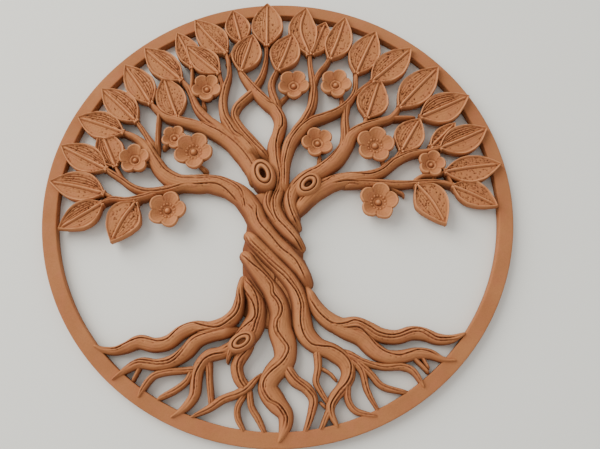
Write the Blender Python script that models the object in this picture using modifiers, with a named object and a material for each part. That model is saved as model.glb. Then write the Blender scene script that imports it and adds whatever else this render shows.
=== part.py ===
"""Clay tree of life: a round openwork relief of a flowering tree inside a ring.

The relief lies on its back, so +Z comes out of its face, +Y runs to the crown of the tree
and the origin is the middle of the ring on the back plane. Every leaf, flower, knot, bough
and root is its own piece of clay, laid against its neighbours with a thin slip joint.
The tables are in millimetres, as (x, y) or (x, y, width).
"""

import math

import bmesh
import bpy
from mathutils import Vector

MM = 0.001
OBJECT_NAME = "clay_tree_of_life"

# Driving dimensions, in millimetres
RING_OUTER = 100.0
RING_INNER = 93.9
RING_THICKNESS = 4.0
RING_EDGE = 0.5
RING_STEPS = 64
JOINT = 0.3
LEAF_HEIGHT = 6.4
LEAF_BASE_HALF_WIDTH = 1.3
FLOWER_HEIGHT = 7.0
PEG_WIDTH = 2.6
PEG_HEIGHT = 4.8
TRAIL_STEP = 6.4

# Leaves: name, base, bend of the midrib, tip, left and right half width, rank (front is high)
LEAVES = [
    ("leaf_w1", (-74.2, 1.6), (-83.1, -3.9), (-92.4, -9.5), 5.8, 6.0, 3),
    ("leaf_w2", (-73.7, 5.6), (-85.1, 9.2), (-97.7, 12.2), 6.1, 6.8, 5),
    ("leaf_w3", (-73.2, 16.8), (-83.6, 22.8), (-94.1, 29), 6.2, 6.2, 4),
    ("leaf_w4", (-66.7, 34), (-77.1, 38.5), (-87.7, 42.5), 6.6, 6.1, 5),
    ("leaf_w5", (-61.2, 39), (-69.2, 47.7), (-77.8, 56.5), 6.0, 6.8, 6),
    ("leaf_w6", (-55.2, 47.5), (-61, 57.7), (-68, 68.4), 6.0, 6.6, 7),
    ("leaf_w7", (-41.7, 59), (-50.4, 67.7), (-59.4, 77), 6.2, 6.3, 8),
    ("leaf_w8", (-37, 65.4), (-39.9, 74.8), (-44.6, 85), 4.6, 5.6, 5),
    ("leaf_w9", (-21.4, 72.6), (-28.4, 80.8), (-36.3, 91.6), 6.0, 7.0, 7),
    ("leaf_w10", (-24.8, 61.9), (-31.9, 68.7), (-40.4, 77.6), 5.3, 6.3, 9),
    ("leaf_w11", (-14.6, 77.8), (-16.4, 86.8), (-18.4, 96.4), 5.5, 6.0, 6),
    ("leaf_w12", (-15.1, 62.7), (-11.9, 72.6), (-9, 82.3), 6.9, 6.6, 8),
    ("leaf_top", (-2.8, 75.6), (-2.3, 87.6), (-1.8, 99.5), 7.0, 7.2, 9),
    ("leaf_e1", (1.7, 62.2), (6, 72.1), (9.4, 82.1), 7.0, 6.5, 10),
    ("leaf_e2", (16.6, 70), (13.3, 84.1), (16.5, 96.6), 5.6, 7.6, 8),
    ("leaf_e3", (17.6, 70.4), (21.6, 79.6), (25.4, 88.2), 5.0, 6.0, 3),
    ("leaf_e4", (25.7, 67.6), (30.2, 77.8), (34.8, 90.7), 5.2, 6.8, 7),
    ("leaf_e5", (37.3, 59.2), (42.6, 70.1), (48.6, 82.1), 7.0, 6.6, 8),
    ("leaf_e6", (44.1, 54.9), (54.1, 63.2), (64.5, 72.1), 6.8, 6.7, 9),
    ("leaf_e7", (55.1, 41.2), (65, 51.2), (75.8, 61.7), 7.0, 7.0, 10),
    ("leaf_e8", (64, 35.9), (75.5, 40.7), (87.8, 46), 6.8, 7.2, 11),
    ("leaf_e9", (71, 20.6), (82.5, 25), (93.8, 29.7), 6.3, 6.8, 6),
    ("leaf_e10", (71.5, 9.4), (84.5, 11.1), (97.5, 12), 5.2, 7.0, 8),
    ("leaf_e11", (74.3, 3), (83.5, -1.7), (93, -7.5), 6.0, 5.2, 4),
    ("leaf_e12", (59.1, 4.3), (65, -3.7), (69.8, -14.9), 6.8, 7.2, 6),
    ("leaf_e13", (53.9, 19.6), (59.1, 27.7), (64.3, 35.7), 6.7, 6.2, 5),
    ("leaf_e14", (40.4, 36.7), (43.9, 45.7), (48.1, 56.7), 6.7, 7.0, 4),
    ("leaf_e15", (67, 21.3), (73.5, 27.2), (80, 33.2), 3.5, 5.0, 2),
    ("leaf_w13", (-43.5, 40.2), (-47, 50.7), (-50.2, 61.7), 6.3, 6.8, 3),
    ("leaf_w14", (-69.7, 17.8), (-73.2, 26.2), (-77.1, 35.7), 5.8, 6.3, 2),
    ("leaf_w15", (-60.2, 1.3), (-65.5, -6.2), (-70.2, -16.5), 7.3, 6.9, 6),
]

# Flowers: name, centre, diameter, turn in degrees, peg from the petals to the bough
FLOWER_RANK = 5.5
FLOWERS = [
    ("flower_w1", (-30.6, 54.7), 13.4, 53, [(-32.4, 50.6), (-32, 44.6)]),
    ("flower_w2", (-44.9, 31.1), 11.0, 60, [(-48, 28.5), (-50.5, 26.5)]),
    ("flower_w3", (-36.4, 23.9), 16.8, 60, [(-34.5, 18.5), (-30.4, 14.4)]),
    ("flower_w4", (-61.7, 21), 13.4, 90, [(-56.5, 19.5), (-51.5, 18.5)]),
    ("flower_w5", (-47.2, -2.9), 15.8, 70, [(-47, 3.4), (-46.5, 7.4)]),
    ("flower_e1", (8.7, 54.9), 14.2, 56, [(5.7, 51.1), (1.2, 46.6)]),
    ("flower_e2", (27.8, 54.7), 14.2, 62, [(30.1, 50.1), (30.4, 43.6)]),
    ("flower_e3", (17.9, 25.7), 13.8, 35, [(18.6, 20.5), (18.2, 15.4)]),
    ("flower_e4", (43.1, 23.5), 16.6, 75, [(45.9, 17.4), (46.9, 12.9)]),
    ("flower_e5", (66.8, 13.4), 12.0, 70, [(67.4, 9.9), (67.8, 6.4)]),
    ("flower_e6", (42.2, -3), 16.4, 75, [(42.9, 3.4), (43.2, 7.4)]),
]

# Knots: name, centre, length, width, lean in degrees, height
KNOTS = [
    ("knot_upper", (-6.4, 10.5), 15.0, 10.4, 108, 10.5),
    ("knot_east", (12.7, 5.1), 12.6, 9.6, 42, 10.0),
    ("knot_root", (-16.9, -59.6), 12.0, 7.6, 30, 9.0),
]

# Boughs and roots: each node is a strand and its forks, as (path, height at its start,
# height at its end)
STRANDS = {
    "bough_west": [
        ([(10.9, -38.3, 3.5), (8.1, -31.8, 6.5), (2.7, -24.8, 8), (-3.3, -18.1, 8.6),
          (-8.6, -10.7, 9.4), (-11.3, -4.2, 10), (-15.8, 2.3, 9.6), (-22.3, 6.7, 9), (-29.3, 8.9, 8.8),
          (-36.3, 9.3, 8.6), (-43.3, 10.3, 8), (-49.4, 14.6, 7.2), (-53.4, 20.7, 6.4),
          (-56.7, 26.7, 5.4), (-61.5, 31.6, 4), (-67.5, 34.7, 2.8)], 8.5, 6.2),
        ([(-53.9, 27.1, 4), (-57.4, 33.2, 3), (-61.8, 39.9, 2.4)], 6.8, 6.2),
        ([(-52.3, 26.4, 2.6), (-52.4, 34.5, 2.6), (-52, 42.5, 2.4)], 6, 6),
        ([(-40.3, 8.1, 5), (-48.3, 6.5, 4.6), (-55.9, 6.1, 4.4), (-61.9, 8.2, 3.8), (-67.5, 12.5, 3.4),
          (-74, 17.3, 2.8)], 7.2, 6.2),
        ([(-52.4, 5.3, 4), (-58.4, 3.5, 3.8), (-64.4, 2.6, 3.4), (-70.5, 3.4, 3.2),
          (-75.5, 1.5, 2.6)], 6.8, 6.2),
        ([(-57.4, 4.2, 2.6), (-60.8, 1.3, 2.2)], 6.4, 6.2),
        ([(-66.9, 12.4, 2.4), (-70.2, 18.6, 2)], 6, 6),
        ([(-70.6, 3.9, 2.4), (-74.6, 6.4, 2.2)], 6, 6),
    ],
    "bough_northwest": [
        ([(-8.3, 8.3, 6), (-11.7, 16.4, 8), (-16.2, 23.5, 8.4), (-22.2, 29.6, 7.4), (-29.3, 34, 6.2),
          (-36.3, 37.2, 5.6), (-43.3, 39.5, 4.8), (-49.4, 41.9, 4), (-55.8, 48.6, 2.8)], 9, 6.2),
        ([(-17.8, 27.6, 5), (-24.3, 34.2, 5), (-30.3, 39.5, 4.8), (-34.6, 45, 4.4), (-37.1, 51.2, 3.8),
          (-39, 55.8, 3.4), (-42.4, 60.3, 2.6)], 8, 6.2),
        ([(-37.9, 52.8, 2.6), (-37.4, 59.4, 2.4), (-37.4, 66.6, 2)], 6.4, 6),
    ],
    "bough_north": [
        ([(-8.7, 19.2, 5), (-13.7, 26.3, 6), (-19.2, 33.5, 5.6), (-22.5, 40.1, 4.8), (-23.5, 47.3, 4.2),
          (-22.5, 54.5, 4), (-20.6, 61.1, 2.8), (-20.6, 67.8, 2.6), (-21.9, 73.7, 2.4)], 9, 6.2),
        ([(-23, 52.2, 3.2), (-23.9, 57.3, 2.8), (-25.2, 63.1, 2.2)], 6.6, 6.2),
        ([(-20.7, 70.9, 2.2), (-17.9, 75.5, 2.4), (-15, 79.6, 2.2)], 5.4, 5.4),
        ([(-5.3, 20.9, 4), (-10.8, 27.7, 5.4), (-15.6, 34.4, 4.6), (-18.3, 40.6, 4), (-17, 45.8, 4.2),
          (-12.9, 50.4, 4.4), (-8.9, 53.8, 4)], 8.5, 5.5),
    ],
    "bough_centre": [
        ([(9.2, -22.4, 3), (5.5, -17.4, 6), (-0.1, -9.8, 7.6), (-1.9, -3.3, 6.6), (0.3, 3.7, 5),
          (0.9, 10.8, 5), (-0.7, 17.8, 6.4), (-1.3, 24.9, 6.4), (0.9, 31.5, 6), (2, 37.5, 6.2),
          (-0.1, 43.1, 6), (-4.8, 48.2, 5.8), (-9.8, 54.8, 5.2), (-13.6, 60.4, 4.2),
          (-15.4, 64.1, 3)], 8.5, 6.2),
        ([(-3.6, 4.2, 3.0), (-5.3, -2.4, 4.2), (-2.3, -9.4, 3.4)], 7.6, 8.1),
        ([(0.9, 45, 4), (-0.9, 51.7, 3.8), (-1.2, 57.3, 3.6), (1.7, 63.7, 2.6)], 7, 6.2),
        ([(-9, 55.3, 4), (-5.5, 61.3, 3.6), (-3.6, 68.7, 2.8), (-2.9, 77.1, 2.4)], 5.5, 6),
    ],
    "bough_northeast": [
        ([(2.3, 1.3, 3.4), (2.9, 9.4, 4), (3.5, 17.5, 5), (5.7, 25.6, 6.4), (10.2, 31.7, 6.6),
          (15.7, 36.4, 5.4), (22.2, 38.9, 4.8), (28.7, 41.8, 4.4), (33.7, 46.3, 3.8), (36.5, 51.8, 3),
          (37.6, 60.5, 2.6)], 9, 6.2),
        ([(8.2, 31.8, 4.4), (12.7, 37.7, 4.6), (16.3, 44.3, 4.6), (17.5, 51.1, 4.4), (17.4, 58.2, 3.6),
          (16.9, 64.8, 2.8), (16.8, 71.5, 2.6)], 7.6, 6.2),
        ([(18, 55.7, 3.2), (20.5, 61.3, 2.8), (24, 65.6, 2.8), (26.1, 69, 2.4)], 6.6, 6.2),
        ([(35.1, 48, 3), (39.6, 52.2, 2.6), (44.8, 56.2, 2.2)], 6.4, 6.2),
    ],
    "bough_east": [
        ([(7.9, -13.4, 2.6), (5.6, -7.9, 5.4), (4.7, -1.4, 7), (7.1, 4.2, 8), (12.7, 9.2, 8.6),
          (19.2, 12.8, 7.6), (25.2, 17.2, 7.6), (29.7, 23, 7), (33.2, 29, 6.4), (38.7, 32.9, 5.4),
          (45.8, 35.2, 4.6), (51.8, 37.3, 4), (55.8, 42.2, 2.8)], 8.5, 6.2),
        ([(29.3, 22, 5), (30.7, 29.6, 4.6), (30.9, 37.2, 3.8), (32.4, 44.6, 3.4)], 7, 6.4),
        ([(39.1, 33.4, 2.4), (40.8, 38, 2.2)], 6.2, 6),
        ([(60.5, 36.9, 2), (51.9, 37.1, 2.4)], 5.6, 6),
    ],
    "bough_southeast": [
        ([(8.6, -4.5, 6), (12.6, -0.1, 7.4), (18.1, 4.2, 7.8), (24.6, 7.1, 7.4), (31.6, 8.6, 6.4),
          (39.1, 9.2, 5.8), (45.2, 11.2, 5.2), (51.2, 15.7, 4.8), (58.3, 18.9, 4), (65.3, 19.8, 3.2),
          (71.9, 21.1, 2.4)], 8.5, 6.2),
        ([(35.7, 6.2, 4.4), (43.7, 5.7, 4.4), (51.7, 5, 4.2), (58.8, 5.2, 3.4), (65.8, 5.4, 3),
          (71.4, 4.7, 2.8), (75.4, 3.1, 2.4)], 7, 6.2),
        ([(50.3, 15.2, 3), (54.4, 20.5, 2.4)], 6.4, 6.2),
        ([(58.5, 6.1, 2.4), (62.5, 8.4, 2.4), (67.9, 8.6, 2.2), (72.9, 10, 2.2)], 5.6, 6.2),
        ([(73.1, 9.9, 2), (74.7, 5.1, 2)], 5.4, 5.4),
        ([(66.1, 20.7, 2), (68.6, 23.2, 2)], 5.4, 5.4),
        ([(46.6, 4.6, 1.8), (50.7, 2.4, 1.6), (53.2, 1.2, 1.4), (54.2, -0.4, 1.0)], 4.6, 4),
    ],
    "root_west": [
        ([(-17.8, -38.1, 3), (-17.4, -42.7, 4.8), (-19, -47.7, 6), (-23.3, -51.7, 6.4),
          (-29.3, -53.4, 6.2), (-35.3, -52.6, 5.6), (-40.8, -54.4, 5.8), (-45.9, -57.9, 6.2),
          (-51.5, -58.8, 6), (-57.5, -57.3, 5.8), (-62.6, -59.2, 5), (-67.2, -60.3, 3.8),
          (-71.8, -59.6, 2.6), (-75.9, -57.6, 1)], 8.5, 5),
        ([(-22.2, -54.9, 5), (-29.3, -56.3, 5.2), (-34.8, -58.2, 6), (-39, -62.3, 6.2),
          (-44.4, -65.5, 5.4), (-50.5, -66.5, 4.8), (-56.6, -65.6, 4.6), (-61.7, -67.5, 3.4),
          (-68.1, -72, 1)], 8, 5),
        ([(-56.8, -66.8, 1.8), (-59.9, -72.8, 1.4)], 4.6, 4.4),
    ],
    "root_southwest": [
        ([(-15.8, -32.8, 2.6), (-13.9, -37.7, 5), (-11.1, -43.7, 7.2), (-10.9, -49.6, 8.4),
          (-13.8, -55.5, 9.4), (-18.8, -60.5, 7.4), (-24.9, -63, 5.4), (-30.2, -64.2, 5.4),
          (-33.8, -68.2, 5.2), (-35, -73.4, 4.8), (-35.8, -78.9, 4.4), (-39.6, -83.5, 3.4),
          (-45.2, -87, 1)], 8.5, 5),
        ([(-34.5, -68.9, 3), (-39.5, -69.2, 2.8), (-46.6, -69.5, 3), (-51.6, -70.8, 3),
          (-55.2, -74.9, 2.8), (-57.4, -79.4, 1)], 5.6, 5),
        ([(-36.5, -69.4, 2.6), (-38.5, -73.1, 2.8), (-42.6, -76.2, 3), (-47.1, -78.4, 2.6),
          (-50.5, -80.1, 1.2)], 5.4, 5),
        ([(-30.1, -65.8, 3), (-29.9, -72.8, 2.8), (-29.2, -81.9, 2.6)], 5.2, 4.6),
        ([(-15.3, -62, 5.4), (-19, -67.9, 5.2), (-18.4, -73.2, 5), (-15.4, -77.2, 4)], 6.8, 5.4),
        ([(-11.2, -73.3, 2), (-14.9, -76.7, 3.4), (-19.4, -79.1, 3.6), (-25, -80.9, 3.6),
          (-30.5, -84.1, 3), (-37.6, -87.1, 1)], 5.6, 5),
        ([(-16.7, -79.9, 2.4), (-19.1, -83.9, 2.6), (-19.1, -88.2, 2.6), (-17, -92.7, 1.8)], 5, 4.6),
        ([(-14.4, -78.4, 2.4), (-13.9, -83.9, 2.8), (-11.4, -88.6, 2.8), (-9.2, -93.4, 2)], 5, 4.6),
    ],
    "root_centre": [
        ([(-15.7, -21.9, 4), (-12.8, -27.3, 6), (-7.8, -34.7, 7.2), (-3.7, -41.1, 8.6),
          (-1.5, -48, 9.4), (-1.6, -55, 9.8), (0, -61.5, 9.8), (-0.6, -67.4, 9), (-5.1, -72.2, 8.2),
          (-7.3, -77.4, 8.2), (-4.3, -82.9, 8), (-0.9, -87.6, 6.4), (-1.5, -93, 4.6),
          (-4.3, -98.3, 1)], 8.5, 5),
        ([(0.2, -69.9, 4.6), (3.2, -74.9, 4.8), (7.7, -78.2, 4.6), (10.1, -82.4, 4), (9.1, -87.5, 3.2),
          (6.7, -93.5, 2.2)], 6.4, 4.8),
    ],
    "root_southeast": [
        ([(-14.2, -13.4, 3.4), (-11.3, -18.1, 6), (-5.8, -24.7, 6.8), (-0.3, -31.1, 7),
          (4.1, -37.1, 7.4), (6.7, -44, 7.8), (7.2, -51, 8.2), (8.5, -57.2, 8), (12.7, -61.9, 7.2),
          (18.5, -64.7, 7), (23, -68.5, 6.6), (24.4, -73.3, 6), (22.2, -78.1, 5.2), (18.2, -82.3, 4.4),
          (16.4, -86.9, 3.6), (18.7, -92.8, 1.8)], 8.5, 4.8),
        ([(16.6, -85.9, 3), (12.4, -93.6, 1.8)], 4.8, 4.6),
        ([(12.7, -63.8, 3.4), (12.7, -70.4, 3.2), (11.5, -75.9, 2.8), (13.4, -80.2, 2.4),
          (15.8, -84.1, 2)], 5.6, 4.8),
        ([(13.8, -70.8, 1.6), (17.3, -73.1, 1.5), (19.9, -76.3, 1.3)], 4.6, 4.4),
        ([(23.8, -76.9, 3), (23.5, -82.9, 3), (26.2, -87.5, 2.8), (33.7, -89.7, 1.8)], 5.2, 4.8),
        ([(26.3, -67.8, 4), (29.9, -72.9, 3), (31.2, -79.9, 2.6), (34.5, -87.2, 1.6)], 5.4, 4.8),
        ([(27.8, -68.3, 3.4), (33.2, -74.1, 3), (37.4, -78.9, 3), (45.5, -81.4, 2.2)], 5.4, 4.8),
        ([(24.8, -65.9, 3.6), (30.8, -69.3, 3), (37.9, -71.4, 3), (45.5, -71.7, 3.2), (50.3, -74.1, 3),
          (53.7, -80.9, 1)], 5.6, 5),
        ([(12.3, -83.3, 1.4), (15.2, -86.2, 1.4)], 4.4, 4.4),
    ],
    "root_east": [
        ([(10.9, -40.8, 3.4), (13.2, -46.7, 6), (17.1, -51.6, 7), (22.6, -54.8, 7.4),
          (28.7, -54.7, 7.2), (33.7, -56.6, 6.6), (38.7, -59.2, 6.2), (44.8, -60.1, 6),
          (50.8, -58.8, 5.8), (55.9, -59.5, 5.6), (61, -61.6, 5), (66.6, -61.8, 3.6),
          (73, -59.6, 1)], 8.5, 5),
        ([(24.1, -57.1, 6), (30.2, -59.8, 6.8), (34.7, -64.5, 6.8), (39.7, -67.6, 6),
          (45.8, -67.9, 5.4), (51.9, -66.9, 5), (57.5, -67.5, 4.4), (62, -69.7, 2.8),
          (68, -70.6, 1)], 7.6, 5),
        ([(50.1, -67.8, 2), (53.4, -71.6, 1.8), (56.2, -75, 1.4)], 4.6, 4.4),
        ([(53.7, -67.8, 1.6), (56.4, -73.4, 1.4)], 4.6, 4.4),
    ],
}

# Half of a leaf's section, from the foot of its edge to the crest of the midrib:
# (share of the half width, share of the leaf's height)
LEAF_SECTION = [(1.0, 0.0), (1.0, 0.86), (0.84, 1.0), (0.16, 0.84), (0.0, 1.03)]
LEAF_STATIONS = [0.0, 0.08, 0.22, 0.42, 0.62, 0.80, 0.93, 1.0]

# Half of a rolled strand's section: flat back, upright foot, round top
STRAND_SECTION = [(1.0, 0.0), (1.0, 0.45), (0.66, 0.86), (0.0, 1.0)]

# A knot's turned profile, from the floor of its hole over the top and down to its foot:
# (share of the radius, share of the height)
KNOT_PROFILE = [(0.0, 0.56), (0.18, 0.60), (0.24, 0.88), (0.36, 0.97), (0.52, 0.95), (0.60, 0.84),
                (0.70, 0.95), (0.88, 0.84), (1.0, 0.62), (1.0, 0.0), (0.0, 0.0)]

# A flower from its foot over the petals' rim to its bead: (how far the ring follows the
# petals, share of the radius, drop below the rim, rise between two petals); the first stands
# on the back
FLOWER_SIDES = 20
FLOWER_PROFILE = [(1.0, 0.70, None, 0.0), (1.0, 1.0, 1.3, 0.0), (1.0, 0.93, 0.0, -0.5),
                  (0.8, 0.52, 2.2, 0.9), (0.0, 0.30, 2.7, 0.2), (0.0, 0.20, 1.9, 0.0),
                  (0.0, 0.07, 1.2, 0.0)]
FLOWER_ROOM = [(1.0, 0.70, None, 0.0), (1.0, 1.0, 1.3, 0.0), (1.0, 0.93, 0.0, 0.0)]

parts = bpy.data.collections.new(OBJECT_NAME)
cutters = bpy.data.collections.new(OBJECT_NAME + "_cutters")


def clear_scene():
    for old in list(bpy.data.objects):
        bpy.data.objects.remove(old, do_unlink=True)
    for group in (parts, cutters):
        bpy.context.scene.collection.children.link(group)


def clay(name, warmth):
    """Matte fired clay; warmth shifts it between the pale and the dark pieces."""
    material = bpy.data.materials.new("clay_" + name)
    material.use_nodes = True
    shader = material.node_tree.nodes["Principled BSDF"]
    shader.inputs["Base Color"].default_value = (0.40 + 0.05 * warmth, 0.170, 0.072, 1.0)
    shader.inputs["Roughness"].default_value = 0.82
    shader.inputs["Metallic"].default_value = 0.0
    return material


def link(name, mesh, group):
    body = bpy.data.objects.new(name, mesh)
    group.objects.link(body)
    if group is cutters:
        body.hide_render = True
        body.display_type = "WIRE"
    return body


def loft(name, rings, group):
    """Skin a closed body over rings of equal count, with a flat face at either end."""
    shape = bmesh.new()
    rows = [[shape.verts.new(Vector(point) * MM) for point in ring] for ring in rings]
    for near, far in zip(rows, rows[1:]):
        for i in range(len(near)):
            j = (i + 1) % len(near)
            shape.faces.new((near[i], near[j], far[j], far[i]))
    shape.faces.new(rows[0])
    shape.faces.new(reversed(rows[-1]))
    bmesh.ops.recalc_face_normals(shape, faces=shape.faces)
    mesh = bpy.data.meshes.new(name)
    shape.to_mesh(mesh)
    shape.free()
    return link(name, mesh, group)


def spline(points, share):
    """Point and direction at a share of the way along a smooth path through the points."""
    spans = len(points) - 1
    place = min(max(share, 0.0), 1.0) * spans
    i = min(int(place), spans - 1)
    t = place - i
    p1 = Vector(points[i])
    p2 = Vector(points[i + 1])
    p0 = Vector(points[i - 1]) if i > 0 else 2 * p1 - p2
    p3 = Vector(points[i + 2]) if i + 2 <= spans else 2 * p2 - p1
    point = 0.5 * (2 * p1 + (p2 - p0) * t + (2 * p0 - 5 * p1 + 4 * p2 - p3) * t**2
                   + (3 * p1 - p0 - 3 * p2 + p3) * t**3)
    slope = 0.5 * ((p2 - p0) + 2 * (2 * p0 - 5 * p1 + 4 * p2 - p3) * t
                   + 3 * (3 * p1 - p0 - 3 * p2 + p3) * t**2)
    return point, slope


def mirrored(half):
    """Both halves of a section, foot to foot, as (side, height)."""
    right = [(side, height) for side, height in half if side > 0]
    crest = [(side, height) for side, height in half if side == 0]
    return [(-side, height) for side, height in right] + crest + right[::-1]


def ring_at(point, slope, section, left, right, height, foot):
    """One section set across a path; left and right are its half widths."""
    across = Vector((slope[1], -slope[0])).normalized()
    ring = []
    for side, rise in section:
        reach = side * (right if side > 0 else left)
        ring.append((point[0] + across[0] * reach, point[1] + across[1] * reach,
                     rise * height if rise else foot))
    return ring


def strand(name, path, start_height, end_height, group=None, grow=0.0, foot=0.0):
    """A rolled strand of clay pressed flat on its back, tapering along its path."""
    length = sum(math.dist(a[:2], b[:2]) for a, b in zip(path, path[1:]))
    count = max(3, round(length / TRAIL_STEP))
    rings = []
    for k in range(count + 1):
        share = k / count
        point, slope = spline(path, share)
        half = max(point[2], 0.8) / 2 + grow
        height = start_height + (end_height - start_height) * share + grow
        slope_2d = slope.to_2d().normalized()
        push = -grow if k == 0 else grow if k == count else 0.0
        place = (point[0] + slope_2d[0] * push, point[1] + slope_2d[1] * push)
        rings.append(ring_at(place, slope_2d, mirrored(STRAND_SECTION), half, half, height, foot))
    return loft(name, rings, group or parts)


def leaf_width(share):
    """Share of a leaf's half width: full below the middle, drawn out to a point."""
    rise = 0.62
    fall = 0.85
    widest = rise / (rise + fall)
    peak = widest**rise * (1 - widest)**fall
    return (share**rise) * ((1 - share)**fall) / peak


def leaf(name, base, bend, tip, left, right, group=None, grow=0.0, foot=0.0):
    """A pointed leaf lofted along its midrib, with a raised rim and a raised rib.

    The room a leaf needs, grown by the joint, has a plain top with no valleys.
    """
    path = [base, bend, tip]
    half_section = LEAF_SECTION[:3] + LEAF_SECTION[-1:] if grow else LEAF_SECTION
    rings = []
    for share in LEAF_STATIONS:
        point, slope = spline(path, share)
        slope = slope.normalized()
        push = -grow if share == 0.0 else grow if share == 1.0 else 0.0
        point = point + slope * push
        full = leaf_width(share)
        floor = LEAF_BASE_HALF_WIDTH * (1 - share) + 0.35
        rings.append(ring_at(point, slope, mirrored(half_section), max(left * full, floor) + grow,
                             max(right * full, floor) + grow, LEAF_HEIGHT + grow, foot))
    return loft(name, rings, group or parts)


def settled(body):
    """The body's mesh as its modifiers leave it."""
    graph = bpy.context.evaluated_depsgraph_get()
    return bpy.data.meshes.new_from_object(body.evaluated_get(graph))


def carve(body, tool, operation):
    step = body.modifiers.new(operation.lower(), "BOOLEAN")
    step.operation = operation
    step.solver = "EXACT"
    step.object = tool
    mesh = settled(body)
    body.modifiers.remove(step)
    old = body.data
    body.data = mesh
    bpy.data.meshes.remove(old)


def discard(body):
    mesh = body.data
    bpy.data.objects.remove(body, do_unlink=True)
    bpy.data.meshes.remove(mesh)


def merge(body, others):
    for other in others:
        carve(body, other, "UNION")
        discard(other)


def span(body):
    """Lowest and highest corner of the body."""
    points = [vertex.co for vertex in body.data.vertices]
    low = Vector([min(p[i] for p in points) for i in range(3)])
    high = Vector([max(p[i] for p in points) for i in range(3)])
    return low, high


def near(first, second):
    low_a, high_a = first
    low_b, high_b = second
    return all(low_a[i] < high_b[i] and low_b[i] < high_a[i] for i in range(3))


def trim(body, tools):
    """Cut the body back from every neighbour it meets."""
    for tool in tools:
        if near(span(body), span(tool)):
            carve(body, tool, "DIFFERENCE")


def keep_largest(body):
    """Drop the crumbs that trimming leaves and keep the one main body."""
    shape = bmesh.new()
    shape.from_mesh(body.data)
    bmesh.ops.remove_doubles(shape, verts=shape.verts, dist=0.000002)
    bmesh.ops.dissolve_degenerate(shape, edges=shape.edges, dist=0.000002)
    left = set(shape.faces)
    islands = []
    while left:
        stack = [left.pop()]
        island = list(stack)
        while stack:
            for edge in stack.pop().edges:
                if len(edge.link_faces) == 2:
                    fresh = [face for face in edge.link_faces if face in left]
                    left.difference_update(fresh)
                    island += fresh
                    stack += fresh
        islands.append(island)
    islands.sort(key=lambda island: sum(face.calc_area() for face in island))
    for island in islands[:-1]:
        bmesh.ops.delete(shape, geom=island, context="FACES")
    shape.to_mesh(body.data)
    shape.free()


def finish(body, warmth):
    keep_largest(body)
    body.data.shade_smooth()
    body.data.set_sharp_from_angle(angle=math.radians(40))
    body.data.materials.clear()
    body.data.materials.append(clay(body.name, warmth))


def turned(name, profile, steps, group):
    """A profile in the XZ plane turned about Z with a Screw modifier."""
    mesh = bpy.data.meshes.new(name)
    edges = [(i, i + 1) for i in range(len(profile) - 1)]
    mesh.from_pydata([(x * MM, 0.0, z * MM) for x, z in profile], edges, [])
    body = link(name, mesh, group)
    turn = body.modifiers.new("turn", "SCREW")
    turn.axis = "Z"
    turn.steps = steps
    turn.render_steps = steps
    turn.use_merge_vertices = True
    turn.merge_threshold = 0.00001
    mesh = settled(body)
    body.modifiers.clear()
    body.data = mesh
    shape = bmesh.new()
    shape.from_mesh(mesh)
    bmesh.ops.remove_doubles(shape, verts=shape.verts, dist=0.00001)
    shape.to_mesh(mesh)
    shape.free()
    return body


def ring_band(name, inner, outer, low, high, edge, group):
    """A flat ring, its two face edges eased by a small chamfer."""
    profile = [(outer - edge, high), (outer, high - edge), (outer, low), (inner, low),
               (inner, high - edge), (inner + edge, high), (outer - edge, high)]
    return turned(name, profile, RING_STEPS, group)


def place(body, x, y, angle, scale_x, scale_y):
    """Stretch, turn and move a mesh built about the origin."""
    c = math.cos(angle)
    s = math.sin(angle)
    for vertex in body.data.vertices:
        u = vertex.co.x * scale_x
        v = vertex.co.y * scale_y
        vertex.co.x = u * c - v * s + x * MM
        vertex.co.y = u * s + v * c + y * MM


def knot(name, centre, length, width, angle, height):
    profile = [(r, z * height) for r, z in KNOT_PROFILE]
    body = turned(name, profile, 16, parts)
    place(body, centre[0], centre[1], math.radians(angle), length / 2, width / 2)
    return body


def drum(name, centre, length, width, angle, low, high):
    """An oval drum that leaves room for a knot."""
    shape = bmesh.new()
    bmesh.ops.create_cone(shape, cap_ends=True, segments=20, radius1=MM, radius2=MM,
                          depth=(high - low) * MM)
    bmesh.ops.translate(shape, verts=shape.verts, vec=Vector((0, 0, (low + high) / 2)) * MM)
    mesh = bpy.data.meshes.new(name)
    shape.to_mesh(mesh)
    shape.free()
    body = link(name, mesh, cutters)
    place(body, centre[0], centre[1], math.radians(angle), length / 2, width / 2)
    return body


def petal_reach(angle, phase, radius):
    """Distance from the heart to the edge of the round petal that lies in this direction."""
    turn = math.radians(phase)
    sector = math.radians(72)
    off = (angle - turn + sector / 2) % sector - sector / 2
    out = 0.57 * radius
    petal = 0.43 * radius
    return out * math.cos(off) + math.sqrt(petal**2 - (out * math.sin(off)) ** 2)


def bloom(name, centre, diameter, phase, profile, group, grow, foot):
    """Five cupped petals round a bead, lofted outward from the foot over the rim to the heart."""
    radius = diameter / 2
    rings = []
    for lobed, share, drop, ridge in profile:
        ring = []
        for k in range(FLOWER_SIDES):
            angle = 2 * math.pi * k / FLOWER_SIDES
            edge = petal_reach(angle, phase, radius)
            reach = share * (lobed * edge + (1 - lobed) * radius) + grow
            between = 1 - (edge / radius - 0.73) / 0.27
            z = foot if drop is None else FLOWER_HEIGHT + grow - drop + ridge * between
            ring.append((centre[0] + reach * math.cos(angle), centre[1] + reach * math.sin(angle), z))
        rings.append(ring)
    return loft(name, rings, group)


def flower_peg(name, centre, stem, grow, foot):
    """The peg of clay that carries a flower, from under its petals into the bough."""
    inner = ((centre[0] + stem[0][0]) / 2, (centre[1] + stem[0][1]) / 2)
    path = [(*inner, PEG_WIDTH), (*stem[0], PEG_WIDTH), (*stem[1], PEG_WIDTH)]
    return strand(name + "_peg", path, PEG_HEIGHT, PEG_HEIGHT, cutters, grow, foot)


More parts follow.
